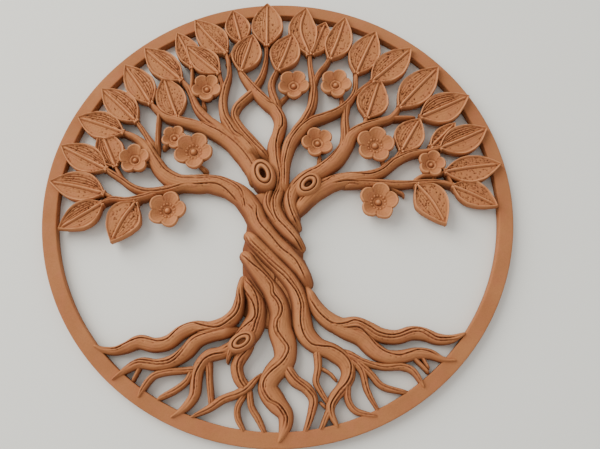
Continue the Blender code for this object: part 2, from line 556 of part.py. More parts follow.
def flower(name, centre, diameter, phase, stem):
    body = bloom(name, centre, diameter, phase, FLOWER_PROFILE, parts, 0.0, 0.0)
    merge(body, [flower_peg(name, centre, stem, 0.0, 0.07)])
    return body


def flower_room(name, centre, diameter, phase, stem):
    form = bloom(name + "_room", centre, diameter, phase, FLOWER_ROOM, cutters, JOINT, -1.0)
    return [form, flower_peg(name, centre, stem, JOINT, -1.0)]


def build_flats(tools):
    """Leaves and flowers, front ones first; each is cut back from the ones in front."""
    fronts = [(rank, "leaf", row) for *row, rank in LEAVES]
    fronts += [(FLOWER_RANK, "flower", row) for row in FLOWERS]
    fronts.sort(key=lambda item: -item[0])
    for rank, kind, row in fronts:
        body = leaf(*row) if kind == "leaf" else flower(*row)
        trim(body, tools)
        finish(body, rank / 11)
        if kind == "leaf":
            tools.append(leaf(row[0] + "_room", *row[1:], cutters, JOINT, -1.0))
        else:
            tools += flower_room(*row)


def build_knots(tools):
    for name, centre, length, width, angle, height in KNOTS:
        body = knot(name, centre, length, width, angle, height)
        trim(body, tools)
        finish(body, 0.8)
        tools.append(drum(name + "_room", centre, length + 2 * JOINT, width + 2 * JOINT, angle,
                          -1.0, height + 1.0))


def build_strands(tools):
    for name, branches in STRANDS.items():
        body = strand(name, *branches[0])
        forks = [strand(name + "_fork", *branch, cutters, 0.0, 0.05 * (k + 1))
                 for k, branch in enumerate(branches[1:])]
        merge(body, forks)
        trim(body, tools)
        finish(body, 0.5)
        for branch in branches:
            tools.append(strand(name + "_room", *branch, cutters, JOINT, -1.0))


def main():
    clear_scene()
    ring = ring_band("ring", RING_INNER, RING_OUTER, 0.0, RING_THICKNESS, RING_EDGE, parts)
    finish(ring, 0.0)
    tools = [ring_band("ring_room", RING_INNER - JOINT, RING_OUTER + 5.0, -1.0,
                       RING_THICKNESS + JOINT, 0.01, cutters)]
    build_flats(tools)
    build_knots(tools)
    build_strands(tools)


main()
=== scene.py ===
"""Clay tree of life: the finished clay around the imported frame.

Every CAD node is replaced by a finely worked piece of the same name and place. Lengths are in
millimetres unless said. The tables of leaves, flowers, knots and strands repeat the CAD's own,
except that four strands start one point earlier.
"""

from collections import namedtuple
import math

import bpy
import numpy as np
from mathutils import Matrix, Vector


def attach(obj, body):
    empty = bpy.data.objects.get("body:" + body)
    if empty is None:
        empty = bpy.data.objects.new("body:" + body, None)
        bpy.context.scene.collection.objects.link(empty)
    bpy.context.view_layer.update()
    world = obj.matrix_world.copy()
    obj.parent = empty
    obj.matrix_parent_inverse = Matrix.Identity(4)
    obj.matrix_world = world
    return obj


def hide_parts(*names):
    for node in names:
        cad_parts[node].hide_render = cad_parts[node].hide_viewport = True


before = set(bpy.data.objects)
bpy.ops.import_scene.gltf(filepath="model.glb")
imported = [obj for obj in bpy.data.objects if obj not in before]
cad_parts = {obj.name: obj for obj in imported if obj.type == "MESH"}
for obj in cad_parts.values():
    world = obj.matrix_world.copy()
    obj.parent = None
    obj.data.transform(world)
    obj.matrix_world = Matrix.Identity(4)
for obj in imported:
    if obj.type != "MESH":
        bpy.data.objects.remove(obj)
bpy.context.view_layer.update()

MM = 0.001

RING_OUTER = 100.0
RING_INNER = 93.9
RING_THICKNESS = 4.0
RING_EDGE = 0.45
LEAF_BASE_HALF_WIDTH = 1.3
FLOWER_HEIGHT = 7.0
PEG_WIDTH = 1.7
PEG_FLARE = 3.0
PEG_HEIGHT = 4.4

# Leaves: name, base, bend of the midrib, tip, left and right half width, rank (front is high)
LEAVES = [
    ("w1", (-74.2, 1.6), (-83.1, -3.9), (-92.4, -9.5), 5.8, 6, 3),
    ("w2", (-73.7, 5.6), (-85.1, 9.2), (-97.7, 12.2), 6.1, 6.8, 5),
    ("w3", (-73.2, 16.8), (-83.6, 22.8), (-94.1, 29), 6.2, 6.2, 4),
    ("w4", (-66.7, 34), (-77.1, 38.5), (-87.7, 42.5), 6.6, 6.1, 5),
    ("w5", (-61.2, 39), (-69.2, 47.7), (-77.8, 56.5), 6, 6.8, 6),
    ("w6", (-55.2, 47.5), (-61, 57.7), (-68, 68.4), 6, 6.6, 7),
    ("w7", (-41.7, 59), (-50.4, 67.7), (-59.4, 77), 6.2, 6.3, 8),
    ("w8", (-37, 65.4), (-39.9, 74.8), (-44.6, 85), 4.6, 5.6, 5),
    ("w9", (-21.4, 72.6), (-28.4, 80.8), (-36.3, 91.6), 6, 7, 7),
    ("w10", (-24.8, 61.9), (-31.9, 68.7), (-40.4, 77.6), 5.3, 6.3, 9),
    ("w11", (-14.6, 77.8), (-16.4, 86.8), (-18.4, 96.4), 5.5, 6, 6),
    ("w12", (-15.1, 62.7), (-11.9, 72.6), (-9, 82.3), 6.9, 6.6, 8),
    ("top", (-2.8, 75.6), (-2.3, 87.6), (-1.8, 99.5), 7, 7.2, 9),
    ("e1", (1.7, 62.2), (6, 72.1), (9.4, 82.1), 7, 6.5, 10),
    ("e2", (16.6, 70), (13.3, 84.1), (16.5, 96.6), 5.6, 7.6, 8),
    ("e3", (17.6, 70.4), (21.6, 79.6), (25.4, 88.2), 5, 6, 3),
    ("e4", (25.7, 67.6), (30.2, 77.8), (34.8, 90.7), 5.2, 6.8, 7),
    ("e5", (37.3, 59.2), (42.6, 70.1), (48.6, 82.1), 7, 6.6, 8),
    ("e6", (44.1, 54.9), (54.1, 63.2), (64.5, 72.1), 6.8, 6.7, 9),
    ("e7", (55.1, 41.2), (65, 51.2), (75.8, 61.7), 7, 7, 10),
    ("e8", (64, 35.9), (75.5, 40.7), (87.8, 46), 6.8, 7.2, 11),
    ("e9", (71, 20.6), (82.5, 25), (93.8, 29.7), 6.3, 6.8, 6),
    ("e10", (71.5, 9.4), (84.5, 11.1), (97.5, 12), 5.2, 7, 8),
    ("e11", (74.3, 3), (83.5, -1.7), (93, -7.5), 6, 5.2, 4),
    ("e12", (59.1, 4.3), (65, -3.7), (69.8, -14.9), 6.8, 7.2, 6),
    ("e13", (53.9, 19.6), (59.1, 27.7), (64.3, 35.7), 6.7, 6.2, 5),
    ("e14", (40.4, 36.7), (43.9, 45.7), (48.1, 56.7), 6.7, 7, 4),
    ("e15", (67, 21.3), (73.5, 27.2), (80, 33.2), 3.5, 5, 2),
    ("w13", (-43.5, 40.2), (-47, 50.7), (-50.2, 61.7), 6.3, 6.8, 3),
    ("w14", (-69.7, 17.8), (-73.2, 26.2), (-77.1, 35.7), 5.8, 6.3, 2),
    ("w15", (-60.2, 1.3), (-65.5, -6.2), (-70.2, -16.5), 7.3, 6.9, 6),
]

# Flowers: name, centre, diameter, turn in degrees, peg from the petals to the bough
FLOWERS = [
    ("w1", (-30.6, 54.7), 13.4, 53, [(-32.4, 50.6), (-32, 44.6)]),
    ("w2", (-44.9, 31.1), 11, 60, [(-48, 28.5), (-50.5, 26.5)]),
    ("w3", (-36.4, 23.9), 16.8, 60, [(-34.5, 18.5), (-30.4, 14.4)]),
    ("w4", (-61.7, 21), 13.4, 90, [(-56.5, 19.5), (-51.5, 18.5)]),
    ("w5", (-47.2, -2.9), 15.8, 70, [(-47, 3.4), (-46.5, 7.4)]),
    ("e1", (8.7, 54.9), 14.2, 56, [(5.7, 51.1), (1.2, 46.6)]),
    ("e2", (27.8, 54.7), 14.2, 62, [(30.1, 50.1), (30.4, 43.6)]),
    ("e3", (17.9, 25.7), 13.8, 35, [(18.6, 20.5), (18.2, 15.4)]),
    ("e4", (43.1, 23.5), 16.6, 75, [(45.9, 17.4), (46.9, 12.9)]),
    ("e5", (66.8, 13.4), 12, 70, [(67.4, 9.9), (67.8, 6.4)]),
    ("e6", (42.2, -3), 16.4, 75, [(42.9, 3.4), (43.2, 7.4)]),
]

# Knots: name, centre, length, width, lean in degrees, height
KNOTS = [
    ("upper", (-6.4, 10.5), 15, 10.4, 108, 10.5),
    ("east", (12.7, 5.1), 12.6, 9.6, 42, 10),
    ("root", (-16.9, -59.6), 12, 7.6, 30, 9),
]

# Boughs and roots: each is a strand and its forks, as (path of (x, y, width), height at its start,
# height at its end)
STRANDS = {}
STRANDS["bough_west"] = [
    ([(10.9, -38.3, 3.5), (8.1, -31.8, 6.5), (2.7, -24.8, 8), (-3.3, -18.1, 8.6), (-8.6, -10.7, 9.4),
      (-11.3, -4.2, 10), (-15.8, 2.3, 9.6), (-22.3, 6.7, 9), (-29.3, 8.9, 8.8), (-36.3, 9.3, 8.6),
      (-43.3, 10.3, 8), (-49.4, 14.6, 7.2), (-53.4, 20.7, 6.4), (-56.7, 26.7, 5.4), (-61.5, 31.6, 4),
      (-67.5, 34.7, 2.8)], 8.5, 6.2),
    ([(-53.9, 27.1, 4), (-57.4, 33.2, 3), (-61.8, 39.9, 2.4)], 6.8, 6.2),
    ([(-52.3, 26.4, 2.6), (-52.4, 34.5, 2.6), (-52, 42.5, 2.4)], 6, 6),
    ([(-33.5, 8, 5), (-40.3, 8.1, 5), (-48.3, 6.5, 4.6), (-55.9, 6.1, 4.4), (-61.9, 8.2, 3.8),
      (-67.5, 12.5, 3.4), (-74, 17.3, 2.8)], 7.2, 6.2),
    ([(-52.4, 5.3, 4), (-58.4, 3.5, 3.8), (-64.4, 2.6, 3.4), (-70.5, 3.4, 3.2), (-75.5, 1.5, 2.6)], 6.8,
      6.2),
    ([(-57.4, 4.2, 2.6), (-60.8, 1.3, 2.2)], 6.4, 6.2),
    ([(-66.9, 12.4, 2.4), (-70.2, 18.6, 2)], 6, 6),
    ([(-70.6, 3.9, 2.4), (-74.6, 6.4, 2.2)], 6, 6),
]
STRANDS["bough_northwest"] = [
    ([(-8.3, 8.3, 6), (-11.7, 16.4, 8), (-16.2, 23.5, 8.4), (-22.2, 29.6, 7.4), (-29.3, 34, 6.2),
      (-36.3, 37.2, 5.6), (-43.3, 39.5, 4.8), (-49.4, 41.9, 4), (-55.8, 48.6, 2.8)], 9, 6.2),
    ([(-17.8, 27.6, 5), (-24.3, 34.2, 5), (-30.3, 39.5, 4.8), (-34.6, 45, 4.4), (-37.1, 51.2, 3.8),
      (-39, 55.8, 3.4), (-42.4, 60.3, 2.6)], 8, 6.2),
    ([(-37.9, 52.8, 2.6), (-37.4, 59.4, 2.4), (-37.4, 66.6, 2)], 6.4, 6),
]
STRANDS["bough_north"] = [
    ([(-8.7, 19.2, 5), (-13.7, 26.3, 6), (-19.2, 33.5, 5.6), (-22.5, 40.1, 4.8), (-23.5, 47.3, 4.2),
      (-22.5, 54.5, 4), (-20.6, 61.1, 2.8), (-20.6, 67.8, 2.6), (-21.9, 73.7, 2.4)], 9, 6.2),
    ([(-23, 52.2, 3.2), (-23.9, 57.3, 2.8), (-25.2, 63.1, 2.2)], 6.6, 6.2),
    ([(-20.7, 70.9, 2.2), (-17.9, 75.5, 2.4), (-15, 79.6, 2.2)], 5.4, 5.4),
    ([(-5.3, 20.9, 4), (-10.8, 27.7, 5.4), (-15.6, 34.4, 4.6), (-18.3, 40.6, 4), (-17, 45.8, 4.2),
      (-12.9, 50.4, 4.4), (-8.9, 53.8, 4)], 8.5, 5.5),
]
STRANDS["bough_centre"] = [
    ([(9.2, -22.4, 3), (5.5, -17.4, 6), (-0.1, -9.8, 7.6), (-1.9, -3.3, 6.6), (0.3, 3.7, 5), (0.9, 10.8, 5),
      (-0.7, 17.8, 6.4), (-1.3, 24.9, 6.4), (0.9, 31.5, 6), (2, 37.5, 6.2), (-0.1, 43.1, 6),
      (-4.8, 48.2, 5.8), (-9.8, 54.8, 5.2), (-13.6, 60.4, 4.2), (-15.4, 64.1, 3)], 8.5, 6.2),
    ([(-3.6, 4.2, 3), (-5.3, -2.4, 4.2), (-2.3, -9.4, 3.4)], 7.6, 8.1),
    ([(0.9, 45, 4), (-0.9, 51.7, 3.8), (-1.2, 57.3, 3.6), (1.7, 63.7, 2.6)], 7, 6.2),
    ([(-9, 55.3, 4), (-5.5, 61.3, 3.6), (-3.6, 68.7, 2.8), (-2.9, 77.1, 2.4)], 5.5, 6),
]
STRANDS["bough_northeast"] = [
    ([(2.3, 1.3, 3.4), (2.9, 9.4, 4), (3.5, 17.5, 5), (5.7, 25.6, 6.4), (10.2, 31.7, 6.6),
      (15.7, 36.4, 5.4), (22.2, 38.9, 4.8), (28.7, 41.8, 4.4), (33.7, 46.3, 3.8), (36.5, 51.8, 3),
      (37.6, 60.5, 2.6)], 9, 6.2),
    ([(8.2, 31.8, 4.4), (12.7, 37.7, 4.6), (16.3, 44.3, 4.6), (17.5, 51.1, 4.4), (17.4, 58.2, 3.6),
      (16.9, 64.8, 2.8), (16.8, 71.5, 2.6)], 7.6, 6.2),
    ([(18, 55.7, 3.2), (20.5, 61.3, 2.8), (24, 65.6, 2.8), (26.1, 69, 2.4)], 6.6, 6.2),
    ([(35.1, 48, 3), (39.6, 52.2, 2.6), (44.8, 56.2, 2.2)], 6.4, 6.2),
]
STRANDS["bough_east"] = [
    ([(7.9, -13.4, 2.6), (5.6, -7.9, 5.4), (4.7, -1.4, 7), (7.1, 4.2, 8), (12.7, 9.2, 8.6),
      (19.2, 12.8, 7.6), (25.2, 17.2, 7.6), (29.7, 23, 7), (33.2, 29, 6.4), (38.7, 32.9, 5.4),
      (45.8, 35.2, 4.6), (51.8, 37.3, 4), (55.8, 42.2, 2.8)], 8.5, 6.2),
    ([(29.3, 22, 5), (30.7, 29.6, 4.6), (30.9, 37.2, 3.8), (32.4, 44.6, 3.4)], 7, 6.4),
    ([(39.1, 33.4, 2.4), (40.8, 38, 2.2)], 6.2, 6),
    ([(60.5, 36.9, 2), (51.9, 37.1, 2.4)], 5.6, 6),
]
STRANDS["bough_southeast"] = [
    ([(8.6, -4.5, 6), (12.6, -0.1, 7.4), (18.1, 4.2, 7.8), (24.6, 7.1, 7.4), (31.6, 8.6, 6.4),
      (39.1, 9.2, 5.8), (45.2, 11.2, 5.2), (51.2, 15.7, 4.8), (58.3, 18.9, 4), (65.3, 19.8, 3.2),
      (71.9, 21.1, 2.4)], 8.5, 6.2),
    ([(29.5, 6.3, 4.4), (35.7, 6.2, 4.4), (43.7, 5.7, 4.4), (51.7, 5, 4.2), (58.8, 5.2, 3.4),
      (65.8, 5.4, 3), (71.4, 4.7, 2.8), (75.4, 3.1, 2.4)], 7, 6.2),
    ([(50.3, 15.2, 3), (54.4, 20.5, 2.4)], 6.4, 6.2),
    ([(58.5, 6.1, 2.4), (62.5, 8.4, 2.4), (67.9, 8.6, 2.2), (72.9, 10, 2.2)], 5.6, 6.2),
    ([(73.1, 9.9, 2), (74.7, 5.1, 2)], 5.4, 5.4),
    ([(66.1, 20.7, 2), (68.6, 23.2, 2)], 5.4, 5.4),
    ([(46.6, 4.6, 1.8), (50.7, 2.4, 1.6), (53.2, 1.2, 1.4), (54.2, -0.4, 1)], 4.6, 4),
]
STRANDS["root_west"] = [
    ([(-15.4, -32.5, 3), (-17, -38.1, 3.6), (-17.4, -42.7, 4.8), (-19, -47.7, 6), (-23.3, -51.7, 6.4),
      (-29.3, -53.4, 6.2), (-35.3, -52.6, 5.6), (-40.8, -54.4, 5.8), (-45.9, -57.9, 6.2), (-51.5, -58.8, 6),
      (-57.5, -57.3, 5.8), (-62.6, -59.2, 5), (-67.2, -60.3, 3.8), (-71.8, -59.6, 2.6), (-75.9, -57.6, 1)],
      8.5, 5),
    ([(-22.2, -54.9, 5), (-29.3, -56.3, 5.2), (-34.8, -58.2, 6), (-39, -62.3, 6.2), (-44.4, -65.5, 5.4),
      (-50.5, -66.5, 4.8), (-56.6, -65.6, 4.6), (-61.7, -67.5, 3.4), (-68.1, -72, 1)], 8, 5),
    ([(-56.8, -66.8, 1.8), (-59.9, -72.8, 1.4)], 4.6, 4.4),
]
STRANDS["root_southwest"] = [
    ([(-15.8, -32.8, 2.6), (-13.9, -37.7, 5), (-11.1, -43.7, 7.2), (-10.9, -49.6, 8.4), (-13.8, -55.5, 9.4),
      (-18.8, -60.5, 7.4), (-24.9, -63, 5.4), (-30.2, -64.2, 5.4), (-33.8, -68.2, 5.2), (-35, -73.4, 4.8),
      (-35.8, -78.9, 4.4), (-39.6, -83.5, 3.4), (-45.2, -87, 1)], 8.5, 5),
    ([(-34.5, -68.9, 3), (-39.5, -69.2, 2.8), (-46.6, -69.5, 3), (-51.6, -70.8, 3), (-55.2, -74.9, 2.8),
      (-57.4, -79.4, 1)], 5.6, 5),
    ([(-36.5, -69.4, 2.6), (-38.5, -73.1, 2.8), (-42.6, -76.2, 3), (-47.1, -78.4, 2.6),
      (-50.5, -80.1, 1.2)], 5.4, 5),
    ([(-30.1, -65.8, 3), (-29.9, -72.8, 2.8), (-29.2, -81.9, 2.6)], 5.2, 4.6),
    ([(-15.3, -62, 5.4), (-19, -67.9, 5.2), (-18.4, -73.2, 5), (-15.4, -77.2, 4)], 6.8, 5.4),
    ([(-11.2, -73.3, 2), (-14.9, -76.7, 3.4), (-19.4, -79.1, 3.6), (-25, -80.9, 3.6), (-30.5, -84.1, 3),
      (-37.6, -87.1, 1)], 5.6, 5),
    ([(-16.7, -79.9, 2.4), (-19.1, -83.9, 2.6), (-19.1, -88.2, 2.6), (-17, -92.7, 1.8)], 5, 4.6),
    ([(-14.4, -78.4, 2.4), (-13.9, -83.9, 2.8), (-11.4, -88.6, 2.8), (-9.2, -93.4, 2)], 5, 4.6),
]
STRANDS["root_centre"] = [
    ([(-15.7, -21.9, 4), (-12.8, -27.3, 6), (-7.8, -34.7, 7.2), (-3.7, -41.1, 8.6), (-1.5, -48, 9.4),
      (-1.6, -55, 9.8), (0, -61.5, 9.8), (-0.6, -67.4, 9), (-5.1, -72.2, 8.2), (-7.3, -77.4, 8.2),
      (-4.3, -82.9, 8), (-0.9, -87.6, 6.4), (-1.5, -93, 4.6), (-4.3, -98.3, 1)], 8.5, 5),
    ([(0.2, -69.9, 4.6), (3.2, -74.9, 4.8), (7.7, -78.2, 4.6), (10.1, -82.4, 4), (9.1, -87.5, 3.2),
      (6.7, -93.5, 2.2)], 6.4, 4.8),
]
STRANDS["root_southeast"] = [
    ([(-14.2, -13.4, 3.4), (-11.3, -18.1, 6), (-5.8, -24.7, 6.8), (-0.3, -31.1, 7), (4.1, -37.1, 7.4),
      (6.7, -44, 7.8), (7.2, -51, 8.2), (8.5, -57.2, 8), (12.7, -61.9, 7.2), (18.5, -64.7, 7),
      (23, -68.5, 6.6), (24.4, -73.3, 6), (22.2, -78.1, 5.2), (18.2, -82.3, 4.4), (16.4, -86.9, 3.6),
      (18.7, -92.8, 1.8)], 8.5, 4.8),
    ([(16.6, -85.9, 3), (12.4, -93.6, 1.8)], 4.8, 4.6),
    ([(12.7, -63.8, 3.4), (12.7, -70.4, 3.2), (11.5, -75.9, 2.8), (13.4, -80.2, 2.4), (15.8, -84.1, 2)],
      5.6, 4.8),
    ([(13.8, -70.8, 1.6), (17.3, -73.1, 1.5), (19.9, -76.3, 1.3)], 4.6, 4.4),
    ([(23.8, -76.9, 3), (23.5, -82.9, 3), (26.2, -87.5, 2.8), (33.7, -89.7, 1.8)], 5.2, 4.8),
    ([(26.3, -67.8, 4), (29.9, -72.9, 3), (31.2, -79.9, 2.6), (34.5, -87.2, 1.6)], 5.4, 4.8),
    ([(27.8, -68.3, 3.4), (33.2, -74.1, 3), (37.4, -78.9, 3), (45.5, -81.4, 2.2)], 5.4, 4.8),
    ([(24.8, -65.9, 3.6), (30.8, -69.3, 3), (37.9, -71.4, 3), (45.5, -71.7, 3.2), (50.3, -74.1, 3),
      (53.7, -80.9, 1)], 5.6, 5),
    ([(12.3, -83.3, 1.4), (15.2, -86.2, 1.4)], 4.4, 4.4),
]
STRANDS["root_east"] = [
    ([(10.9, -40.8, 3.4), (13.2, -46.7, 6), (17.1, -51.6, 7), (22.6, -54.8, 7.4), (28.7, -54.7, 7.2),
      (33.7, -56.6, 6.6), (38.7, -59.2, 6.2), (44.8, -60.1, 6), (50.8, -58.8, 5.8), (55.9, -59.5, 5.6),
      (61, -61.6, 5), (66.6, -61.8, 3.6), (73, -59.6, 1)], 8.5, 5),
    ([(18.9, -54.2, 4.6), (24.1, -57.1, 6), (30.2, -59.8, 6.8), (34.7, -64.5, 6.8), (39.7, -67.6, 6),
      (45.8, -67.9, 5.4), (51.9, -66.9, 5), (57.5, -67.5, 4.4), (62, -69.7, 2.8), (68, -70.6, 1)], 7.6, 5),
    ([(50.1, -67.8, 2), (53.4, -71.6, 1.8), (56.2, -75, 1.4)], 4.6, 4.4),
    ([(53.7, -67.8, 1.6), (56.4, -73.4, 1.4)], 4.6, 4.4),
]

# The grooves that the potter drew along each of them
GROOVES = {}
GROOVES["bough_west"] = [
    [(-35.2, 11.8), (-26.8, 11.9), (-20.3, 8.9), (-15.8, 4.4), (-14.8, 0), (-14.4, -2.9)],
    [(-35.2, 8), (-28.6, 8), (-25, 7), (-22.1, 4.8), (-19.4, 1.7), (-18.1, 0)],
    [(-9.4, -3.1), (-9.6, -7.2), (-8.3, -11.1), (-4.8, -15.6), (0.1, -22.2), (3.7, -25.4), (6.3, -28.5),
     (9, -34.7)],
]
GROOVES["bough_northwest"] = [
    [(-9.1, 20.2), (-9.7, 22.7), (-12.9, 25.3), (-16, 26.8), (-18.7, 28)],
    [(-35.2, 39.6), (-29.9, 35.5), (-26.3, 33.3), (-22.3, 30.2)],
]
GROOVES["bough_north"] = [
    [(-14.4, 29.1), (-17.3, 31.1), (-18.7, 32.9), (-19.6, 34.7), (-21.8, 38.7)],
]
GROOVES["bough_centre"] = [
    [(-0.5, 4.4), (-2.3, 0), (-2.3, -5.4), (-0.7, -9.8), (3.3, -14.7), (6.3, -18.8), (8.6, -22.2)],
    [(-0.3, 20.8), (-0.3, 25.7), (1.2, 31.7), (2.8, 34.6), (2.8, 39.1), (1.5, 42.3), (-0.3, 45.2),
     (-3, 46.3)],
    [(-2.5, 47.4), (-6.6, 51.7), (-10.2, 56.2), (-12.9, 60.2), (-14.9, 63.1)],
]
GROOVES["bough_east"] = [
    [(5.2, 5.3), (4, 1.7), (4.2, -3.1), (5.4, -8.1), (6.8, -11.1)],
    [(18.5, 14.4), (23.6, 18.8), (27.6, 24.2), (31.1, 29.7), (38.3, 33.6), (45.4, 35.9)],
]
GROOVES["bough_southeast"] = [
    [(20.6, 7.1), (24.3, 9.7), (29.7, 10.6), (34.6, 9.9), (39.6, 9.4), (45.1, 11.4), (50.6, 15.8)],
    [(25.2, 6.1), (29.6, 6.8), (34.6, 6.3)],
]
GROOVES["root_southeast"] = [
    [(-14.6, -15.6), (-12.8, -19.6), (-8.3, -24.5), (-3.9, -29.4), (0.6, -33.8), (2.4, -36), (5.4, -40.4),
     (7, -45.3), (6.8, -49.3), (6.7, -53.4), (7.8, -57.9), (10.5, -61.5), (14.5, -62.6), (18.4, -63.1),
     (22.5, -65.5), (25.2, -69.1), (25.2, -73), (23.4, -76.7), (20.2, -79.8), (17.1, -83.8), (16.5, -86.5),
     (17.1, -89.7)],
]
GROOVES["root_centre"] = [
    [(-15.8, -24), (-12.8, -27.6), (-8.7, -31.1), (-5.7, -34.3), (-3.9, -37.1), (-3.5, -40.8),
     (-1.6, -43.5), (-0.5, -46.2), (-0.8, -49.3), (-2.5, -52.1), (-2.5, -55.7), (-0.3, -59.3), (1.5, -62.4),
     (0.6, -65.5), (-2.1, -68.7), (-5.7, -71.3), (-8.4, -74.4), (-8.8, -77.6), (-6.6, -81.6), (-3, -83.8),
     (-0.3, -87.9), (-0.3, -91)],
]
GROOVES["root_southwest"] = [
    [(-14.6, -35.1), (-11.4, -39.5), (-10.1, -44), (-10.1, -48.5), (-11.1, -51.6), (-12.2, -55.1)],
    [(-15.7, -38.6), (-12.2, -44), (-11.2, -48.5), (-12.3, -51.1), (-17.3, -54.6), (-21.3, -58.6),
     (-22.3, -62.1)],
    [(-23.8, -63.4), (-28.3, -63.9), (-31.7, -65.6), (-34.2, -69.1), (-35.2, -72), (-35.5, -77)],
]
GROOVES["root_west"] = [
    [(-17.4, -39.9), (-17.1, -44), (-18.5, -48), (-21.3, -50.7), (-24.5, -52.8), (-27.7, -53.4),
     (-32.9, -52.1), (-36, -51), (-39.6, -51.6), (-42.8, -53.9), (-45.9, -56.8), (-49.5, -57.6),
     (-52.6, -56.8), (-57.1, -56), (-62.1, -57.5), (-66.1, -59.5), (-71.5, -59.3)],
    [(-30.2, -54.1), (-34.2, -54.6), (-37.4, -56.1), (-39.6, -59.3), (-42.3, -62.9), (-45.5, -65.1),
     (-49.5, -65.5), (-53.1, -64.9), (-57.6, -64.4), (-62.1, -66.2), (-66.5, -69.8)],
]
GROOVES["root_east"] = [
    [(11.1, -44.5), (14.7, -50.1), (19.6, -54.1), (24.6, -54.1), (28.6, -53.1), (33.6, -55.6),
     (37.1, -58.1), (41.6, -59.4), (45.6, -59.1), (50.6, -57.4), (54.6, -57.4), (58.1, -59.6),
     (61.1, -61.3), (65.5, -61.5), (69.5, -60.9)],
    [(24.6, -55.9), (29.6, -56.1), (33.1, -59.1), (36.1, -63.1), (39.6, -65.9), (44.6, -67.4),
     (48.6, -66.6), (52.6, -65.6), (56.6, -66.4), (59.6, -68.1)],
]

# The body of the trunk behind the twisted strands, as a strand of its own
TRUNK_CORE = [(-3.5, 5, 22), (-2.8, -1, 24.5), (-2.6, -7, 23), (-3.2, -14, 22.4), (-3.3, -20, 25),
              (-3.5, -27, 25.6), (-2.4, -34, 26.8), (-2.8, -40, 28.5), (-3.2, -46, 29), (-3.4, -51, 22),
              (-4, -55, 12)]
TRUNK_CORE_HEIGHTS = (5.2, 3.7)
# Round this middle, within this reach, the strands' sides get painted shade
TRUNK_MIDDLE = (-3.0, -24.0)
TRUNK_REACH = 34.0

# The pointed tail that hangs from the root knot
KNOT_TAIL = [(-19.8, -60.2, 3.4), (-21.2, -62.6, 2.8), (-22.2, -65.2, 1.9), (-22.9, -67.6, 0.9)]
KNOT_TAIL_HEIGHTS = (8.3, 6.6)

# A rolled strand: distance between rows, columns across, and the shape of its section
STRAND_STEP = 0.50
COLUMNS_AT_LEAST = 9
COLUMNS_PER_MM = 4.0
COLUMN_LIMITS = (11, 27)
STRAND_BELLY = 0.36
STRAND_ROUNDNESS = 2.15
STRAND_WALLS = ((0.0, 0.62), (0.45, 0.86))  # (share of the edge's height, share of the width)
NARROWEST = 0.9
LOWEST = 0.3
UNEVEN_WIDTH = 0.03
UNEVEN_HEIGHT = 0.12
OUTER_REACH = (48.0, 26.0)
OUTER_SLIMMING = 0.14
STREAK_GAP = 1.15
STREAK_DEPTH = 0.075

# How a strand's end runs on into what it meets: how far (a length, and more for each mm of its
# width), the shares of width and height left there, and over which way it sinks (the same two)
ENDS = {"fork": (1.4, 0.70, 0.45, 0.40, 3.0, 0.70),
        "wrap": (0.5, 0.0, 0.95, 0.34, 6.0, 0.0),
        "leaf": (2.2, 0.0, 0.50, 0.90, 2.2, 0.0),
        "ring": (2.4, 0.0, 0.85, 0.55, 3.0, 0.0),
        "neighbour": (1.4, 0.0, 0.70, 0.55, 2.8, 0.0)}
TIP_WIDTH = 1.5
TIP_END = (0.60, 1.5)
WRAP_WIDENING = 1.35
RING_MEETING = 86.0
FLANK_STRANDS = ("bough_southeast", "root_east")
TURNED_FORK = ("bough_east", 3)

# Grooves along a strand, their raised lips, the finer line beside some, and the pricked holes
GROOVE_DEPTH = 0.85
GROOVE_WIDTH = 0.28
GROOVE_LIP = 0.62
LIP_WIDTH = 0.20
LIP_HEIGHT = 0.20
GROOVE_COLUMNS = (-1.0, -0.75, -0.55, -0.38, -0.26, -0.13, 0.0, 0.13, 0.26, 0.38, 0.55, 0.75, 1.0)
FEWEST_ROWS = 14  # a line that meets fewer rows isn't this strand's
STEEPEST = 0.30  # sideways change from row to row
JOIN_ROWS = 12
JOIN_DEPTH = 0.75
THIN_STRAND = 1.25
THIN_GROOVE = 0.35
COMPANION_FROM = 2.2
COMPANION_GAP = 1.25
COMPANION_DEPTH = 0.45
PRICK_GAP = 2.1
PRICK_SIZE = 0.24
PRICK_DEPTH = 0.35

# A pressed leaf
LEAF_ROWS = 84
LEAF_COLUMNS = 57
LEAF_SPREAD = 1.05
LEAF_RISE = 0.95
LEAF_FALL = 1.10
LEAF_FACE = 5.50
LEAF_LIFT = 0.09
LEAF_RIM = 0.62
RIM_PLACE = 0.48
LEAF_RIB = 0.95
LEAF_BELLY = 2.9
LEAF_WALLS = ((0.0, 0.74), (0.45 * LEAF_BELLY, 0.86), (LEAF_BELLY, 0.985))  # (level, share of width)
# Painted shade down a leaf's walls, darkest at the foot
LEAF_WALL_SHADE = (0.7, 0.6, 0.25, 0.0)
LEAF_SHOULDER = 0.35
LEAF_HEART = 0.45
GUTTER_GAP = 0.46
GUTTER_WIDTH = 0.24
VEINS = (0.20, 0.36, 0.52, 0.68, 0.83)
VEIN_HEIGHT = 0.30
TROUGH_DEPTH = 0.34
TROUGH_GAP = 0.50
LEAF_PRICKS = 62
LEAF_PRICK_DEPTH = 0.42
VEINED_SIDE = (-0.5, 1.0)
VEINED_BELOW = ("e12", "w15")
STREAKY_LEAVES = ("w1", "w2", "w3", "w4", "w5", "w6", "w7", "w10", "w12", "w14", "e8", "e9")
PRICKED_STREAKS = 0.45
HIDDEN_DROP = 1.3

